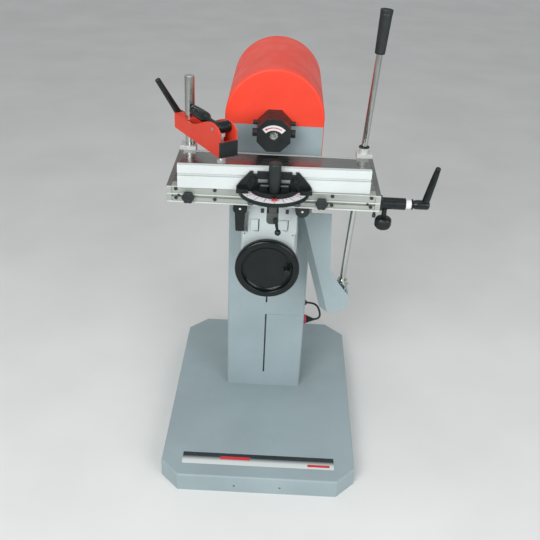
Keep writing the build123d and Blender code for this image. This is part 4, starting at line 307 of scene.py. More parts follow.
# Tool marks run along X on the rail and table, along Y on the milled blocks, along Z on the rods
ALONG_X = (0.02, 1, 1)
ALONG_Y = (1, 0.08, 1)
ALONG_Z = (1, 1, 0.05)
GREY = (0.285, 0.355, 0.375)
BAND_DARK = (0.01, 0.018, 0.022)
BAND_PALE = (0.56, 0.6, 0.59)
BAND_DARK_Y = -0.308
BAND_PALE_Y = -0.324

grey_sheet = painted("grey_sheet_paint", GREY, edge=(0.5, 0.56, 0.57))
grey_casting = painted(
    "grey_casting_paint", (0.45, 0.505, 0.505), edge=(0.66, 0.7, 0.7), rough=0.4, grain=300.0
)
red_sheet = painted(
    "red_hood_paint", (0.8, 0.06, 0.03), edge=(0.9, 0.2, 0.12), rough=0.42, grain=520.0, wear=0, coat=0.05
)
red_clamp = painted(
    "red_clamp_paint", (0.66, 0.05, 0.025), edge=(0.8, 0.2, 0.12), rough=0.44, grain=400.0, wear=0.3, coat=0.0
)
fence_skin = painted(
    "blasted_fence", (0.54, 0.585, 0.58), edge=(0.8, 0.83, 0.82), rough=0.5, grain=600.0, wear=0.3, coat=0.0
)

black_plastic = moulded("black_plastic", (0.011, 0.015, 0.015))
smooth_black = moulded("smooth_black_plastic", (0.004, 0.007, 0.007), rough=0.2, grain=600.0, pits=0.03)
wheel_black = moulded(
    "handwheel_plastic", (0.002, 0.0045, 0.0045), rough=0.18, grain=600.0, pits=0.01, shine=0.3
)
knob_black = moulded("knob_plastic", (0.006, 0.009, 0.008), rough=0.36, pits=0.1, shine=0.3)
red_plastic = moulded("red_plastic", (0.42, 0.035, 0.08), rough=0.35)
cable_skin = moulded("cable_sheath", (0.016, 0.018, 0.018), rough=0.5, grain=1400.0, pits=0.15)

black_paint = cast("black_crackle_paint", (0.007, 0.01, 0.01), rough=0.3, shine=0.3)
bracket_paint = cast("grey_bracket_paint", (0.055, 0.064, 0.06), rough=0.42)
dial_casting = cast("dark_dial_casting", (0.006, 0.016, 0.014), rough=0.36, shine=0.25)
raw_iron = cast("raw_iron", (0.16, 0.16, 0.16), metallic=0.5)

rail_skin = metal("anodised_rail", (0.36, 0.39, 0.36), 0.42, ALONG_X, scratch=0.05, grain=220.0, shine=0.4)
# Lighter metal: a painted highlight on the rail's ribs and along the table's rear edge.
lip_highlight_skin = metal("painted_highlight_lips", (0.56, 0.59, 0.57), 0.4, ALONG_X, scratch=0.05, grain=220.0, shine=0.3)
# Grey metal for the painted reflection patches on the swing bracket.
reflection_patch_skin = metal("lands_painted_reflection", (0.2, 0.215, 0.22), 0.4, grain=300.0, shine=0.4)
plate_skin = metal(
    "milled_aluminium", (0.62, 0.65, 0.64), 0.44, ALONG_Y, scratch=0.07, grain=380.0, shine=0.4
)
end_skin = metal("dark_milled_ends", (0.15, 0.158, 0.15), 0.42, ALONG_Y, grain=380.0, shine=0.4)
ground_steel = metal("ground_table_steel", (0.3, 0.3, 0.29), 0.24, ALONG_X, scratch=0.05)
turned_steel = metal("turned_steel", (0.55, 0.55, 0.54), 0.28, grain=500.0)
bright_steel = metal("bright_steel", (0.85, 0.87, 0.86), 0.3, scratch=0.05, grain=400.0, shine=0.5)
chrome = metal("chrome_rod", (0.52, 0.54, 0.52), 0.2, ALONG_Z, scratch=0.03, grain=240.0)
brass = metal("machined_brass", (0.62, 0.46, 0.2), 0.32, grain=300.0)
dark_bolt = metal("blackened_steel", (0.05, 0.05, 0.055), 0.35, scratch=0.08, grain=400.0, shine=0.6)

white_film = printed("white_film", (0.72, 0.72, 0.74))
red_ink = printed("red_ink", (0.6, 0.03, 0.04))
dark_ink = printed("dark_ink", (0.03, 0.035, 0.04))
band_film = shaded_band("base_band_film", BAND_DARK, BAND_PALE, BAND_DARK_Y, BAND_PALE_Y)

NODES_BY_FINISH = (
    (grey_sheet, ("base_tray", "column_shell", "head_frame", "hood_grille", "lever_arm")),
    (grey_casting, ("knee_body", "cross_way", "cross_carriage")),
    (red_sheet, ("hood",)),
    (red_clamp, ("clamp_arm",)),
    (fence_skin, ("fence",)),
    (rail_skin, ("front_rail",)),
    (end_skin, ("end_plates",)),
    (plate_skin, ("post_block", "guide_block")),
    (ground_steel, ("table_top",)),
    (raw_iron, ("motor_housing", "stator", "rotor_core")),
    (brass, ("lift_nut",)),
    (chrome, ("x_rods", "clamp_post", "lever_rod")),
    (bright_steel, ("chuck_body", "stop_rod", "clamp_foot")),
    (turned_steel, ("column_ways", "keeper_plates", "bearing_rings", "spindle_shaft")),
    (turned_steel, ("chuck_jaw_left", "chuck_jaw_right", "wheel_shaft", "lift_screw", "lever_cross")),
    (dark_bolt, ("rail_bolts",)),
    (bracket_paint, ("gauge_bracket",)),
    (black_paint, ("lock_lever", "stop_holder", "swing_bracket")),
    (wheel_black, ("handwheel",)),
    (smooth_black, ("ball_lever",)),
    (black_plastic, ("fan", "chuck_guard", "wheel_grip", "lock_knob", "switch_box", "cord_gland")),
    (black_plastic, ("star_knob_left", "star_knob_right", "stop_knob", "stop_lever", "gauge_handle")),
    (black_plastic, ("arm_cap", "clamp_lock_lever", "cam_lever", "lever_grip")),
    (red_plastic, ("plug", "switch_knob")),
    (cable_skin, ("power_cord",)),
)


def dress_nodes():
    """Gives every CAD node its finish."""
    for finish, names in NODES_BY_FINISH:
        for name in names:
            slots = nodes[name].material_slots
            if not slots:
                nodes[name].data.materials.append(finish)
            for item in slots:
                item.material = finish


# Modelling by hand


def mm(*values):
    """Millimetres as metres."""
    if len(values) == 1:
        return values[0] / 1000
    return tuple(value / 1000 for value in values)


def pick(piece):
    """Selects one piece alone and makes it the active one."""
    bpy.ops.object.select_all(action="DESELECT")
    piece.select_set(True)
    bpy.context.view_layer.objects.active = piece


def settle(piece, name):
    """Names a piece and moves its place into its mesh."""
    piece.name = name
    pick(piece)
    bpy.ops.object.transform_apply(location=True, rotation=True, scale=True)
    return piece


def moved(piece, place=(0, 0, 0), turn=(0, 0, 0)):
    """Turns a piece about the origin by degrees, then moves it by millimetres."""
    piece.rotation_euler = [math.radians(angle) for angle in turn]
    piece.location = mm(*place)
    return settle(piece, piece.name)


def placed(piece, origin, towards):
    """Points a piece made on +Z in a direction, from an origin in millimetres."""
    piece.rotation_euler = Vector(towards).to_track_quat("Z", "Y").to_euler()
    piece.location = mm(*origin)
    return settle(piece, piece.name)


def select_points(piece, wanted):
    """In edit mode, selects the points whose places are wanted."""
    bpy.ops.mesh.select_mode(type="VERT")
    bpy.ops.mesh.select_all(action="DESELECT")
    shape = bmesh.from_edit_mesh(piece.data)
    for point in shape.verts:
        point.select = wanted(point.co)
    shape.select_flush_mode()
    bmesh.update_edit_mesh(piece.data)


def face_outwards():
    """In edit mode, points every face of the piece outwards."""
    bpy.ops.mesh.select_all(action="SELECT")
    bpy.ops.mesh.normals_make_consistent(inside=False)


def turned(name, steps, sides=64):
    """A round piece on +Z, grown from a disc through (height, radius) steps in millimetres."""
    bpy.ops.object.select_all(action="DESELECT")
    height, radius = steps[0]
    bpy.ops.mesh.primitive_circle_add(
        vertices=sides, radius=mm(radius), fill_type="NGON", location=(0, 0, mm(height))
    )
    piece = settle(bpy.context.object, name)
    bpy.ops.object.mode_set(mode="EDIT")
    bpy.ops.mesh.select_all(action="SELECT")
    for (low, inner), (high, outer) in zip(steps, steps[1:]):
        bpy.ops.mesh.extrude_region_move(TRANSFORM_OT_translate={"value": (0, 0, mm(high - low))})
        share = outer / inner
        bpy.ops.transform.resize(value=(share, share, 1), center_override=(0, 0, mm(high)))
    face_outwards()
    bpy.ops.object.mode_set(mode="OBJECT")
    return piece


def rounded(height, radius, size, start, end, count=5):
    """Steps of a rounded corner about (height, radius), from one angle to another in degrees."""
    steps = []
    for n in range(count + 1):
        angle = math.radians(start + (end - start) * n / count)
        steps.append((height + size * math.sin(angle), radius + size * math.cos(angle)))
    return steps


def fluted(piece, sides, shares, low, high):
    """Draws columns of points towards the axis, by a repeating list of shares."""
    pick(piece)
    bpy.ops.object.mode_set(mode="EDIT")
    for step, share in enumerate(shares):

        def in_column(place):
            column = round(math.atan2(place.y, place.x) / math.tau * sides)
            return mm(low) < place.z < mm(high) and column % len(shares) == step

        select_points(piece, in_column)
        bpy.ops.transform.resize(value=(share, share, 1), center_override=(0, 0, 0))
    bpy.ops.object.mode_set(mode="OBJECT")
    return piece


def plate(name, low, high, soften):
    """A flat block between two corners in millimetres, its edges rounded."""
    bpy.ops.object.select_all(action="DESELECT")
    centre = [(a + b) / 2 for a, b in zip(low, high)]
    bpy.ops.mesh.primitive_cube_add(size=1, location=mm(*centre))
    piece = bpy.context.object
    piece.scale = [mm(b - a) for a, b in zip(low, high)]
    piece = settle(piece, name)
    bpy.ops.object.mode_set(mode="EDIT")
    bpy.ops.mesh.select_all(action="SELECT")
    bpy.ops.mesh.bevel(offset=mm(soften), segments=2, affect="EDGES")
    bpy.ops.object.mode_set(mode="OBJECT")
    return piece


def pads(name, areas, front, proud, sunk, soften):
    """Pads on a face that looks forward, each over an area of (left, right, low, high)."""
    pieces = []
    for left, right, low, high in areas:
        pieces.append(plate(name, (left, front - proud, low), (right, front + sunk, high), soften))
    return pieces


def band(name, inner, outer, half_angle, thick, steps=48):
    """A thin arc of film on +Z, open towards -Y, spun from one straight edge."""
    bpy.ops.object.select_all(action="DESELECT")
    bpy.ops.mesh.primitive_plane_add(size=mm(outer - inner), location=(0, -mm(inner + outer) / 2, 0))
    piece = settle(bpy.context.object, name)
    bpy.ops.object.mode_set(mode="EDIT")
    select_points(piece, lambda place: place.x > 0)
    bpy.ops.mesh.delete(type="VERT")
    bpy.ops.mesh.select_all(action="SELECT")
    bpy.ops.transform.resize(value=(0, 1, 1), center_override=(0, 0, 0))
    bpy.ops.transform.rotate(value=math.radians(half_angle), orient_axis="Z", center_override=(0, 0, 0))
    bpy.ops.mesh.spin(steps=steps, angle=-math.radians(2 * half_angle), center=(0, 0, 0), axis=(0, 0, 1))
    bpy.ops.mesh.select_all(action="SELECT")
    bpy.ops.mesh.remove_doubles(threshold=0.000001)
    bpy.ops.mesh.select_all(action="SELECT")
    bpy.ops.mesh.extrude_region_move(TRANSFORM_OT_translate={"value": (0, 0, mm(thick))})
    face_outwards()
    bpy.ops.object.mode_set(mode="OBJECT")
    return piece


def lettered(name, words, size, thick):
    """Plain figures as a thin mesh on +Z, centred."""
    bpy.ops.object.select_all(action="DESELECT")
    bpy.ops.object.text_add()
    text = bpy.context.object
    text.data.body = words
    text.data.size = mm(size)
    text.data.align_x = "CENTER"
    text.data.align_y = "CENTER"
    text.data.extrude = mm(thick)
    bpy.ops.object.convert(target="MESH")
    return settle(bpy.context.object, name)


def joined(name, pieces):
    """Joins pieces into one."""
    bpy.ops.object.select_all(action="DESELECT")
    for piece in pieces:
        piece.select_set(True)
    bpy.context.view_layer.objects.active = pieces[0]
    bpy.ops.object.join()
    return settle(bpy.context.object, name)


SHARP_ANGLE = 35


def fitted(piece, body, slot, finish, *stands_for):
    """Smooths a piece but for its sharp edges, and gives it its finish and body. The slot argument is not
    used.
    """
    pick(piece)
    bpy.ops.object.shade_smooth_by_angle(angle=math.radians(SHARP_ANGLE))
    piece.data.materials.append(finish)
    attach(piece, body)
    if stands_for:
        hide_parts(*stands_for)
    return piece


# Power lead: the same route as the solid's, in metres
CORD_ROUTE = (
    (0.1305, 0.190, 0.272),
    (0.150, 0.190, 0.272),
    (0.1655, 0.1755, 0.2706),
    (0.1725, 0.147, 0.2679),
    (0.1725, 0.1195, 0.2653),
    (0.1585, 0.106, 0.264),
    (0.1405, 0.106, 0.264),
)
CORD_DIAMETER = 0.0064

# Plug parked on the column's side, its axis along X
PLUG_PLACE = (face("column_shell", "+x"), middle("plug", "y"), middle("plug", "z"))
BOOT_RIBS = 5
BOOT_PITCH = 4.2
BOOT_TAPER = 1.7
BOOT_START = 13.5
BOOT_RADIUS = 12.8
RIB_OUTLINE = ((0, 0), (1.0, -2.2), (2.4, -2.2), (3.2, -0.7), (3.8, -0.8))


def parked_plug():
    """The plug: a red flange on the column's side with a ribbed black boot."""
    flange = turned("plug_flange", [(0, 15)] + rounded(8.5, 13, 2, 0, 90) + [(10.5, 9)])
    flange = placed(flange, PLUG_PLACE, RIGHTWARD)
    fitted(flange, "base", "red_plastic", red_plastic, "plug")
    steps = [(10, 9), (10.6, 13.2), (12.5, 13.4)]
    for n in range(BOOT_RIBS):
        for height, radius in RIB_OUTLINE:
            steps.append((BOOT_START + n * BOOT_PITCH + height, BOOT_RADIUS - n * BOOT_TAPER + radius))
    steps += [(35, 4.6), (36, 3.9)]
    boot = placed(turned("plug_boot", steps, 40), PLUG_PLACE, RIGHTWARD)
    fitted(boot, "base", "black_plastic", black_plastic)
    return [flange, boot]


def power_lead():
    """The short lead from its gland round to the parked plug."""
    curve = bpy.data.curves.new("power_lead", "CURVE")
    curve.dimensions = "3D"
    spline = curve.splines.new("NURBS")
    spline.points.add(len(CORD_ROUTE) - 1)
    for point, place in zip(spline.points, CORD_ROUTE):
        point.co = (*place, 1)
    spline.order_u = 3
    spline.use_endpoint_u = True
    spline.resolution_u = 24
    curve.bevel_depth = CORD_DIAMETER / 2
    curve.bevel_resolution = 6
    lead = bpy.data.objects.new("power_lead", curve)
    bpy.context.scene.collection.objects.link(lead)
    curve.materials.append(cable_skin)
    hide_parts("power_cord")
    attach(lead, "base")
    parked_plug()


# Handwheel and its grip, measured forward from the wheel's back
WHEEL_AXIS = pivot("handwheel_turn")
WHEEL_BACK = face("handwheel", "+y")
GRIP_AXIS = pivot("grip_spin")
BOSS_START = 24
GRIP_START = 26.6


def handwheel():
    """Dished handwheel with a rolled rim, a stepped face and the grip's boss."""
    steps = [(0, 17), (0.8, 20), (16, 20), (19.5, 24), (20, 58), (17, 62), (15, 66), (15, 76)]
    steps += rounded(21, 76, 6, -90, 0) + rounded(29, 76, 6, 0, 90)
    steps += [(35, 70)] + rounded(32.5, 67, 2.5, 90, 180)
    steps += [(30, 63.4), (28.2, 62.6), (27.6, 61.4), (27.9, 60.2)]
    steps += [(27, 58.6), (25.6, 57.4), (25, 55), (25, 1)]
    wheel = placed(turned("wheel_disc", steps, 96), at_depth(WHEEL_AXIS, WHEEL_BACK), FORWARD)
    boss_steps = [(0, 11), (2, 10.2), (2.6, 9.4), (2.6, 3), (18, 3), (19, 2.2)]
    boss = placed(turned("grip_boss", boss_steps, 48), at_depth(GRIP_AXIS, WHEEL_BACK - BOSS_START), FORWARD)
    fitted(joined("handwheel_disc", [wheel, boss]), "wheel", "black_plastic", wheel_black, "handwheel")


def wheel_grip():
    """Small waisted grip on the handwheel's pin."""
    steps = [(0, 6), (0.8, 7.3), (3, 7.4), (8, 6.6), (14, 6.6), (18, 7.2)] + rounded(20, 5.5, 1.8, 0, 90)
    steps += [(21.8, 3.6), (20.6, 3.2), (20.6, 0.4)]
    grip = placed(turned("spinning_grip", steps, 40), at_depth(GRIP_AXIS, WHEEL_BACK - GRIP_START), FORWARD)
    fitted(grip, "spin_grip", "black_plastic", smooth_black, "wheel_grip")


# Knobs: each lobe repeats a list of shares of the radius
STAR_LOBES = (1.0, 0.99, 0.95, 0.88, 0.85, 0.88, 0.95, 0.99)
STAR_SIDES = 48
FLUTE_LOBES = (1.0, 1.0, 0.985, 0.955, 0.94, 0.955, 0.985, 1.0)
FLUTE_SIDES = 64
RAIL_FACE = face("front_rail", "-y")
LOCK_FACE = face("lock_lever", "-y")


def star_knobs():
    """Two six-lobed knobs on the rail, with their studs."""
    for side in ("left", "right"):
        steps = [(-6.5, 2.4), (0.3, 2.5), (0.3, 7.4), (3, 8), (3.4, 13.6), (4.2, 15), (9, 15)]
        steps += rounded(9.5, 12.5, 2.5, 10, 80) + [(12.2, 8), (12.3, 5), (11.5, 4.4), (11.5, 0.5)]
        knob = fluted(turned("star_" + side, steps, STAR_SIDES), STAR_SIDES, STAR_LOBES, 3.2, 12.1)
        knob = placed(knob, at_depth(pivot("star_" + side + "_turn"), RAIL_FACE), FORWARD)
        fitted(knob, "star_" + side, "black_plastic", black_plastic, "star_knob_" + side)


def stop_screw_knob():
    """Big fluted knob under the side stop, with its neck and stud."""
    steps = [(0, 6), (0.4, 8)] + rounded(11, 9, 11, -75, 0, 8) + [(17, 20)]
    steps += rounded(20.5, 10.4, 9.6, 10, 80, 8)
    steps += [(30.4, 8), (30.8, 6), (51.7, 6), (51.7, 4), (58, 4)]
    knob = fluted(turned("stop_screw", steps, FLUTE_SIDES), FLUTE_SIDES, FLUTE_LOBES, 2, 28)
    x, y, _ = pivot("stop_knob_turn")
    knob = placed(knob, (x, y, face("stop_knob", "-z")), UPWARD)
    fitted(knob, "stop_screw", "black_plastic", knob_black, "stop_knob")


def lock_screws():
    """Bright cap screws in the two carriage locks."""
    for side, joint in (("left", "lock_lever_turn"), ("right", "lock_knob_turn")):
        steps = [(0, 3), (1.2, 3), (1.8, 2.4), (1.8, 1.5), (0.8, 1.4), (0.8, 0.3)]
        screw = placed(turned("lock_screw_" + side, steps, 32), at_depth(pivot(joint), LOCK_FACE), FORWARD)
        fitted(screw, "lock_" + side, "steel", bright_steel)


# Side stop lever: a hub on the rod's axis, and an arm from root to tip
STOP_AXIS = Vector(pivot("stop_lever_turn"))
STOP_HUB_START = face("stop_lever", "-x")
STOP_ARM_ROOT = STOP_AXIS + Vector((14, 0, 4))
STOP_ARM_TIP = STOP_AXIS + Vector((32, 0, 93))


def stop_clamp_lever():
    """Clamp lever on the stop rod: a bored hub with a ring and a tapered arm."""
    steps = [(34.6, 0.5), (34.6, 7.2), (0, 7.2), (0, 11.4), (0.6, 12.8), (2.6, 12.8), (3.2, 12)]
    steps += [(3.6, 9.4), (6, 9.4), (9, 11), (20, 11.3), (35, 11.2)]
    steps += rounded(36.4, 5.2, 6, 0, 90) + [(42.4, 0.5)]
    hub = placed(turned("stop_hub", steps, 48), (STOP_HUB_START, STOP_AXIS.y, STOP_AXIS.z), RIGHTWARD)
    steps = [(5.2, 8.8), (14, 9), (30, 8.6), (60, 7.9), (76, 7.2), (84, 6.5)]
    steps += rounded(89.4, 1.6, 4.6, 10, 80) + [(94, 0.8)]
    arm = placed(turned("stop_arm", steps, 40), STOP_ARM_ROOT, STOP_ARM_TIP - STOP_ARM_ROOT)
    lever = joined("stop_clamp_lever", [hub, arm])
    fitted(lever, "stop_clamp", "black_plastic", smooth_black, "stop_lever")


# Clamp levers, placed by the arm's own directions: along it, across it and up
ARM_ORIGIN = pivot("clamp_swing")
ARM_ANGLE = math.radians(-56)
LOCK_HEIGHT = pivot("clamp_lock_turn")[2]
LOCK_START = -16.5
LOCK_BAR_FOOT = (-50.8, -7, LOCK_HEIGHT + 2)
LOCK_BAR_TIP = (-60.5, -58, LOCK_HEIGHT + 92)
CAM_REACH = 165
CAM_HEIGHT = pivot("cam_turn")[2]
CAM_OFFSET = 2.3
CAM_SIDE = -19
CAM_PIN_SIDE = -26.6


def on_arm(along, across, height):
    """A place on the clamp arm, in the shared frame."""
    x = ARM_ORIGIN[0] + along * math.cos(ARM_ANGLE) - across * math.sin(ARM_ANGLE)
    y = ARM_ORIGIN[1] + along * math.sin(ARM_ANGLE) + across * math.cos(ARM_ANGLE)
    return Vector((x, y, height))


ARM_BACKWARD = on_arm(-1, 0, 0) - on_arm(0, 0, 0)
ARM_SIDEWAYS = on_arm(0, 1, 0) - on_arm(0, 0, 0)


def clamp_screw_lever():
    """Lever that locks the arm on its post: a screw, a round hub and a straight tapered bar."""
    steps = [(0, 4), (0.8, 4.9), (23.9, 4.9), (23.9, 8.6), (24.5, 9.2), (34, 9.2)]
    steps += rounded(37, 6.2, 3, 0, 90) + [(40, 4.5), (39, 4.2), (39, 0.4)]
    hub = placed(turned("lock_hub", steps, 48), on_arm(LOCK_START, 0, LOCK_HEIGHT), ARM_BACKWARD)
    foot = on_arm(*LOCK_BAR_FOOT)
    steps = [(0, 7), (1.5, 9.2), (12, 8.8), (30, 8.2), (70, 7.6), (102, 7.2)]
    steps += [(106, 7.1), (107.2, 6.2), (107.2, 4), (106, 3.6), (106, 0.4)]
    bar = placed(turned("lock_bar", steps, 40), foot, on_arm(*LOCK_BAR_TIP) - foot)
    lever = joined("clamp_screw_lever", [hub, bar])
    fitted(lever, "arm_lock", "black_plastic", smooth_black, "clamp_lock_lever")


def clamp_cam_lever():
    """Cam with grooved ends, its slim neck and its thick rounded grip, and the bright pin they turn on."""
    steps = [(0, 11.5), (1, 13.2), (2, 13.8), (4, 14), (4.8, 13.2), (6.4, 13.2), (7.2, 14), (30.8, 14)]
    steps += [(31.6, 13.2), (33.2, 13.2), (34, 14), (36, 13.8), (37, 13.2), (38, 11.5)]
    centre = on_arm(CAM_REACH + CAM_OFFSET, CAM_SIDE, CAM_HEIGHT + CAM_OFFSET)
    cam = placed(turned("cam_disc", steps, 48), centre, ARM_SIDEWAYS)
    steps = [(0, 6.4), (20, 6.2), (46, 5.8), (60, 6.2), (65, 7.4), (69, 9.6), (73, 11.8), (78, 13.4)]
    steps += [(84, 14), (108, 14), (119, 13.7), (120.4, 12.3), (123, 12.3), (124.4, 13.4), (131, 13.1)]
    steps += [(132.4, 11.9), (135, 11.9), (136.4, 12.8), (140, 12.5)] + rounded(143, 8.8, 3.6, 0, 90)
    steps += [(146.6, 5), (145.8, 4.4), (145.8, 0.4)]
    grip = placed(turned("cam_grip", steps, 48), on_arm(CAM_REACH, 0, CAM_HEIGHT), ARM_BACKWARD)
    lever = joined("clamp_cam_lever", [cam, grip])
    fitted(lever, "cam", "black_plastic", smooth_black, "cam_lever")
    steps = [(0, 2), (0.4, 3.8), (1.2, 4.9), (52, 4.9), (52.8, 3.8), (53.2, 2)]
    pin = placed(turned("cam_pin", steps, 32), on_arm(CAM_REACH, CAM_PIN_SIDE, CAM_HEIGHT), ARM_SIDEWAYS)
    fitted(pin, "cam", "steel", turned_steel)


# Table trim
TABLE_LEFT = face("end_plates", "-x")
TABLE_RIGHT = face("end_plates", "+x")
TABLE_BACK = face("table_top", "+y")
TABLE_FACE = face("table_top", "+z")
RAIL_LEFT = face("front_rail", "-x")
RAIL_RIGHT = face("front_rail", "+x")
RAIL_BOTTOM = face("front_rail", "-z")
RAIL_RIBS = ((838.3, 841.7), (857.8, 860.8), (877.2, 878.9))
LIP_INSET = 1
FACE_INSET = 0.1
GROOVE_SCREWS = (-213.5, 228)
GROOVE_HEIGHT = 857
SCREW_SUNK = 0.1
STRIP_GAP = 0.5
STRIP_WIDTH = 8
STRIP_INSET = 0.2
STRIP_SEAT = 0.2
STRIP_PROUD = 0.8
RAIL_SCREW_PLACE = (247, -269, 820.4)


def rail_lips():
    """Lighter strips on the rail's three ribs, a painted highlight along them; faces on the end plates; and
    the rail's two screws.
    """
    ribs = [(TABLE_LEFT + LIP_INSET, TABLE_RIGHT - LIP_INSET, low, high) for low, high in RAIL_RIBS]
    # Painted highlight: lighter strips where light catches the rail's ribs.
    lips = pads("lip", ribs, RAIL_FACE, proud=0.3, sunk=0.2, soften=0.12)
    fitted(joined("rail_lips", lips), "table", "aluminium", lip_highlight_skin)
    low = RAIL_BOTTOM + FACE_INSET
    high = TABLE_FACE - FACE_INSET
    ends = []
    for left, right in ((TABLE_LEFT, RAIL_LEFT), (RAIL_RIGHT, TABLE_RIGHT)):
        ends.append((left + FACE_INSET, right - FACE_INSET, low, high))
    faces = pads("face", ends, RAIL_FACE, proud=0.2, sunk=0.3, soften=0.1)
    fitted(joined("end_faces", faces), "table", "aluminium", rail_skin)
    screws = []
    for x in GROOVE_SCREWS:
        head = turned("head", [(0, 2.9), (1.4, 3), (2.2, 2.4), (2.2, 1.5), (1.2, 1.4), (1.2, 0.3)], 24)
        screws.append(placed(head, (x, RAIL_FACE + SCREW_SUNK, GROOVE_HEIGHT), FORWARD))
    fitted(joined("groove_screws", screws), "table", "steel", dark_bolt)


def rear_strip():
    """Low strip along the table's rear edge, between the two blocks; its bright finish also paints the
    highlight along that edge.
    """
    left = face("post_block", "+x") + STRIP_GAP
    right = face("guide_block", "-x") - STRIP_GAP
    low = (left, TABLE_BACK - STRIP_WIDTH, TABLE_FACE - STRIP_SEAT)
    high = (right, TABLE_BACK - STRIP_INSET, TABLE_FACE + STRIP_PROUD)
    # Partly a real strip, partly a painted highlight along the table's rear edge.
    fitted(plate("rear_strip", low, high, soften=0.3), "table", "aluminium", lip_highlight_skin)


def rail_screw():
    """Black cap screw under the rail's right end."""
    steps = [(0, 2.2), (1, 2.2), (1, 3.4), (0, 3.6), (0.6, 4.3), (8, 4.3), (8, 3.2), (18, 3.2)]
    screw = placed(turned("rail_screw", steps, 32), RAIL_SCREW_PLACE, UPWARD)
    fitted(screw, "table", "black_paint", dark_bolt)


# Knee and carriage trim: areas are (left, right, low, high)
CARRIAGE_FACE = -206
CARRIAGE_SCREWS = (-17.7, 43.6)
SCREW_HALF = 3.4
SCREW_LOW = 787
SCREW_HIGH = 798
KNEE_FACE = face("knee_body", "-y")
KNEE_PADS = ((-46, -27, 737, 768), (23, 46, 741, 768))
# Painted shadow: dark strips along the pads' right and lower edges.
KNEE_PAD_SHADOWS = (
    (-26.8, -24.6, 738, 768),
    (-38, -25, 734.4, 736.4),
    (46.2, 48.4, 742, 768),
    (36, 48, 738.4, 740.4),
)


def carriage_screws():
    """Two black square gib screw heads on the carriage's face."""
    areas = [(x - SCREW_HALF, x + SCREW_HALF, SCREW_LOW, SCREW_HIGH) for x in CARRIAGE_SCREWS]
    heads = pads("head", areas, CARRIAGE_FACE, proud=3, sunk=0.3, soften=0.7)
    fitted(joined("carriage_screws", heads), "carriage", "black_paint", dark_bolt)


def knee_pads():
    """Two raised pads cast on the knee's face, under the carriage, with painted shadow: a dark strip along
    the right and lower edge of each.
    """
    raised = pads("pad", KNEE_PADS, KNEE_FACE, proud=4.5, sunk=1, soften=1.6)
    fitted(joined("knee_pads", raised), "knee", "grey_casting", grey_casting)
    # Painted shadow along the pads' right and lower edges, in dark ink.
    lines = pads("pad_shadow", KNEE_PAD_SHADOWS, KNEE_FACE, proud=1.4, sunk=0.4, soften=0.5)
    fitted(joined("knee_pad_shadows", lines), "knee", "grey_casting", dark_ink)


# Joystick
LEVER_PIVOT = Vector(pivot("joystick_tilt"))
LEVER_LINE = Vector((0.0512, 0, 1)).normalized()
GRIP_FOOT = 1143
GRIP_SIDES = 64
GRIP_FLUTES = (1.0, 0.97)
GRIP_SWELL_START = (20, 13.2)
GRIP_SWELL_STEPS = 8
GRIP_SWELL_PITCH = 10
GRIP_SWELL = 0.22
WIPER_SUNK = 0.5
WIPER_PLACE = (235, LEVER_PIVOT.y, face("guide_block", "+z") - WIPER_SUNK)
WIPER_RADIUS = 11.9
WIPER_THICK = 2
WIPER_SHOULDER = 0.94
WIPER_FOOT = 1.04
WIPER_MARGIN = 0.5


def joystick_grip():
    """Rubber hand grip with shallow flutes, a rolled end and a dished top."""
    start = (GRIP_FOOT - LEVER_PIVOT.z) / LEVER_LINE.z
    steps = [(0, 8.05), (0, 10.5)] + rounded(2, 11, 1.6, -60, 0) + [(9, 12.9), (10, 13)]
    height, radius = GRIP_SWELL_START
    for n in range(GRIP_SWELL_STEPS):
        steps.append((height + n * GRIP_SWELL_PITCH, radius + n * GRIP_SWELL))
    steps += [(94, 15.2), (95.5, 14.7), (97, 15.3), (101, 15.5)] + rounded(103, 13.6, 2, 0, 90)
    steps += [(105, 12), (103.6, 11.2), (103, 9.5), (103, 0.5)]
    grip = fluted(turned("hand_grip", steps, GRIP_SIDES), GRIP_SIDES, GRIP_FLUTES, 9.5, 93)
    grip = placed(grip, LEVER_PIVOT + LEVER_LINE * start, LEVER_LINE)
    fitted(grip, "joystick", "black_plastic", black_plastic, "lever_grip")


def rod_wiper():
    """Dark wiper ring where the joystick rod leaves its guide: a sloped shoulder over a wider foot."""
    bpy.ops.object.select_all(action="DESELECT")
    centre = Vector(mm(*WIPER_PLACE))
    bpy.ops.mesh.primitive_torus_add(
        major_radius=mm(WIPER_RADIUS),
        minor_radius=mm(WIPER_THICK),
        major_segments=48,
        minor_segments=12,
        location=centre,
    )
    ring = settle(bpy.context.object, "rod_wiper")
    bpy.ops.object.mode_set(mode="EDIT")
    for side, share in ((1, WIPER_SHOULDER), (-1, WIPER_FOOT)):

        def outer_half(place):
            away = place - centre
            return side * away.z > mm(WIPER_MARGIN) and away.xy.length > mm(WIPER_RADIUS + WIPER_MARGIN)

        select_points(ring, outer_half)
        bpy.ops.transform.resize(value=(share, share, 1), center_override=centre)
    bpy.ops.object.mode_set(mode="OBJECT")
    fitted(ring, "table", "black_plastic", black_plastic)


# Gauge: pieces are made about the origin, in place of the fence's swing axis, then put on the dial
SWING_PLACE = pivot("fence_swing")
SCALE_TOP = face("gauge_bracket", "+z")
REST_ANGLE = 2.1
SCALE_INNER = 58.2
SCALE_OUTER = 81
SCALE_HALF_ANGLE = 74
SCALE_THICK = 0.12
RIM_OUTER = 83.5
RIM_HALF_ANGLE = 80
RIM_HEIGHT = 9
RIM_DROP = 8.7
SCALE_MARKS = 8
MARK_STEP = 9
MARK_INNER = 59
MARK_NARROWING = 0.6
LONG_MARK = (71, 1.2)
SHORT_MARK = (66, 0.7)
NUMBER_STEP = 15
NUMBER_SIZE = 6.4
NUMBER_THICK = 0.06
NUMBER_PLACE = (0, -75.5, 0.18)
POINTER_HALF_ANGLE = 5.5
POINTER_THICK = 0.8
POINTER_HEIGHT = 2
INDEX_LINE = ((-0.6, -70, 2.75), (0.6, -60, 2.95))


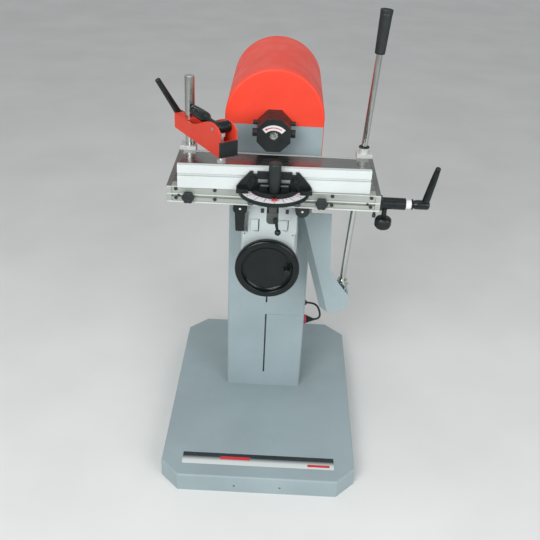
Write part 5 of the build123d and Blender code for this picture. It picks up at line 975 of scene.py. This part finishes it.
def on_dial(piece):
    """Turns a piece made about the origin to the dial's rest angle, and lifts it to the dial's face."""
    return moved(piece, (SWING_PLACE[0], SWING_PLACE[1], SCALE_TOP), (0, 0, REST_ANGLE))


def dial_mark(angle, outer, half):
    """One printed line of the scale, narrower at its inner end."""
    mark = plate("mark", (-half, -outer, SCALE_THICK), (half, -MARK_INNER, 2 * SCALE_THICK), soften=0.03)
    halfway = -mm(MARK_INNER + outer) / 2
    bpy.ops.object.mode_set(mode="EDIT")
    select_points(mark, lambda place: place.y > halfway)
    bpy.ops.transform.resize(value=(MARK_NARROWING, 1, 1), center_override=(0, 0, 0))
    bpy.ops.object.mode_set(mode="OBJECT")
    return moved(mark, turn=(0, 0, angle))


def gauge_scale():
    """White scale on the protractor with its dark rim, its lines and plain numbers."""
    film = on_dial(band("scale_film", SCALE_INNER, SCALE_OUTER, SCALE_HALF_ANGLE, SCALE_THICK))
    fitted(film, "table", "dial_casting", white_film)
    rim = band("scale_rim", SCALE_OUTER, RIM_OUTER, RIM_HALF_ANGLE, RIM_HEIGHT)
    fitted(on_dial(moved(rim, (0, 0, -RIM_DROP))), "table", "dial_casting", dial_casting)
    long_marks = []
    short_marks = []
    numbers = []
    for n in range(-SCALE_MARKS, SCALE_MARKS + 1):
        angle = n * MARK_STEP
        if n % 2 == 0:
            long_marks.append(dial_mark(angle, *LONG_MARK))
            figure = lettered("figure", str(abs(n) // 2 * NUMBER_STEP), NUMBER_SIZE, NUMBER_THICK)
            numbers.append(moved(moved(figure, NUMBER_PLACE), turn=(0, 0, angle)))
        else:
            short_marks.append(dial_mark(angle, *SHORT_MARK))
    fitted(on_dial(joined("scale_long_lines", long_marks)), "table", "dial_casting", red_ink)
    fitted(on_dial(joined("scale_short_lines", short_marks)), "table", "dial_casting", dark_ink)
    fitted(on_dial(joined("scale_numbers", numbers)), "table", "dial_casting", dark_ink)


def gauge_pointer():
    """Red pointer tip with its white index line at the front of the swing bracket."""
    tip = band("pointer_tip", MARK_INNER, LONG_MARK[0], POINTER_HALF_ANGLE, POINTER_THICK, steps=12)
    fitted(on_dial(moved(tip, (0, 0, POINTER_HEIGHT))), "fence_group", "black_paint", red_ink)
    line = plate("index_line", *INDEX_LINE, soften=0.05)
    fitted(on_dial(line), "fence_group", "black_paint", white_film)


# Swing bracket, about the dial's centre
BOSS_SPREAD = 48.5
BOSS_DEPTH = -19
BOSS_HEIGHT = 30
LAND_FACE = -19
# Places of the painted reflection patches, on the back plate and on the foot.
BACK_REFLECTION_PATCHES = ((-38, -15, 23, 31), (15, 36, 23, 31))
FOOT_REFLECTION_PATCHES = (((-31, -33.5, 20.2), (-13, -25, 20.7)), ((14, -33.5, 20.2), (32, -25, 20.7)))


def bracket_bosses():
    """Two screw bosses on the back plate of the swing bracket."""
    bosses = []
    for x in (-BOSS_SPREAD, BOSS_SPREAD):
        steps = [(0, 8.5), (3, 8.2), (4, 7.4), (4, 5.2), (7, 5), (8, 4.2), (8, 2.4), (6.5, 2.2), (6.5, 0.3)]
        bosses.append(moved(turned("boss", steps, 40), (x, BOSS_DEPTH, BOSS_HEIGHT), (90, 0, 0)))
    fitted(on_dial(joined("bracket_bosses", bosses)), "fence_group", "black_paint", black_paint)


def bracket_reflection_patches():
    """Grey patches on the swing bracket, on both sides of the handle: a painted reflection of the light on
    its upward faces.
    """
    # Painted reflection: grey patches where the bracket's upward faces catch the light.
    reflection_plates = pads("reflection_patch", BACK_REFLECTION_PATCHES, LAND_FACE, proud=0.5, sunk=0.4, soften=0.3)
    for low, high in FOOT_REFLECTION_PATCHES:
        reflection_plates.append(plate("reflection_patch", low, high, soften=0.2))
    fitted(on_dial(joined("bracket_reflection_patches", reflection_plates)), "fence_group", "aluminium", reflection_patch_skin)


# Printed films
FILM_THICK = 0.15
FILM_EDGE = 0.05
GUARD_FACE = face("chuck_guard", "-y")
ARC_STEPS = 32
LABEL_DROP = 14.5
LABEL_CENTRE = pivot("spindle_spin")[2] - LABEL_DROP
LABEL_INNER = 29
LABEL_OUTER = 42.5
LABEL_HALF_ANGLE = 44
ARROW_RADIUS = 36
ARROW_HALF = 1.2
ARROW_END = 33
ARROW_HEAD = 3.8
BASE_TOP = face("base_tray", "+z")
BAND_CORNERS = ((-215, -338), (215, -294))
BAND_BARS = (((-108, -318), (-24, -306)), ((140, -331), (203, -322)))


def direction_label():
    """White arc over the guard's hole with a plain red turning arrow."""
    film = band("label_film", LABEL_INNER, LABEL_OUTER, LABEL_HALF_ANGLE, FILM_THICK, ARC_STEPS)
    inner = ARROW_RADIUS - ARROW_HALF
    outer = ARROW_RADIUS + ARROW_HALF
    line = band("label_arrow", inner, outer, ARROW_END, FILM_THICK * 2, ARC_STEPS)
    head = turned("arrow_head", [(0, ARROW_HEAD), (FILM_THICK * 2, ARROW_HEAD)], 3)
    end = math.radians(ARROW_END)
    tip = (ARROW_RADIUS * math.sin(end), -ARROW_RADIUS * math.cos(end), 0)
    arrow = joined("label_arrow", [line, moved(head, tip, (0, 0, ARROW_END - 90))])
    for piece, finish in ((film, white_film), (arrow, red_ink)):
        upright = moved(piece, turn=(90, 0, 0))
        fitted(moved(upright, (0, GUARD_FACE, LABEL_CENTRE), (0, 180, 0)), "base", "black_plastic", finish)


def base_band():
    """Long plain band on the base's front, running from dark to light, with two red bars."""
    low, high = BAND_CORNERS
    film = plate("base_band", (*low, BASE_TOP), (*high, BASE_TOP + FILM_THICK), FILM_EDGE)
    fitted(film, "base", "grey_paint", band_film)
    bars = []
    for low, high in BAND_BARS:
        bars.append(plate("bar", (*low, BASE_TOP), (*high, BASE_TOP + 2 * FILM_THICK), FILM_EDGE))
    fitted(joined("base_band_bars", bars), "base", "red_paint", red_ink)


# Room, in metres: each lamp has a name, a place, a target, a size and a power in watts
FLOOR_SIZE = 14
FLOOR_CENTRE = (0, 1.5, 0)
FLOOR_TONES = ((0.66, 0.67, 0.66), (0.71, 0.72, 0.71))
FLOOR_ROUGHNESS = 0.75
SURROUND_COLOUR = (0.9, 0.92, 0.93, 1)
SURROUND_STRENGTH = 0.55
LAMPS = (
    ("key_lamp", (-1.1, -2.6, 2.2), (0, 0, 0.7), 1.6, 66),
    ("fill_lamp", (1.7, -2.3, 1.6), (0.1, 0, 0.65), 1.8, 38),
    ("top_lamp", (-0.3, -0.4, 3.3), (0, 0, 0.8), 2.0, 12),
)


def pale_floor():
    """Plain pale floor with faint mottling."""
    bpy.ops.mesh.primitive_plane_add(size=FLOOR_SIZE, location=FLOOR_CENTRE)
    floor = bpy.context.object
    floor.name = "floor"
    finish, tree, shader, place = new_finish("pale_floor")
    tone = spread(tree, noise(tree, place, scale=2.2, detail=6.0))
    coloured(tree, shader, mixed(tree, tone, *FLOOR_TONES))
    shader.inputs["Roughness"].default_value = FLOOR_ROUGHNESS
    bump(tree, shader, noise(tree, place, scale=70.0, detail=6.0), strength=0.1, distance=0.001)
    floor.data.materials.append(finish)


def pale_surround():
    """Even pale light from all round."""
    world = bpy.data.worlds.new("surround")
    world.use_nodes = True
    background = world.node_tree.nodes["Background"]
    background.inputs["Color"].default_value = SURROUND_COLOUR
    background.inputs["Strength"].default_value = SURROUND_STRENGTH
    bpy.context.scene.world = world


def soft_lamps():
    """Large soft lamps, each turned to its target."""
    for name, place, target, size, power in LAMPS:
        data = bpy.data.lights.new(name, "AREA")
        data.energy = power
        data.size = size
        lamp = bpy.data.objects.new(name, data)
        lamp.location = place
        lamp.rotation_euler = (Vector(target) - Vector(place)).to_track_quat("-Z", "Y").to_euler()
        bpy.context.scene.collection.objects.link(lamp)


bpy.context.scene.view_settings.view_transform = "Standard"
aim_camera()
power_lead()
dress_nodes()
handwheel()
wheel_grip()
star_knobs()
stop_screw_knob()
lock_screws()
stop_clamp_lever()
clamp_screw_lever()
clamp_cam_lever()
rail_lips()
rear_strip()
rail_screw()
carriage_screws()
knee_pads()
joystick_grip()
rod_wiper()
gauge_scale()
gauge_pointer()
bracket_bosses()
bracket_reflection_patches()
direction_label()
base_band()
pale_floor()
pale_surround()
soft_lamps()
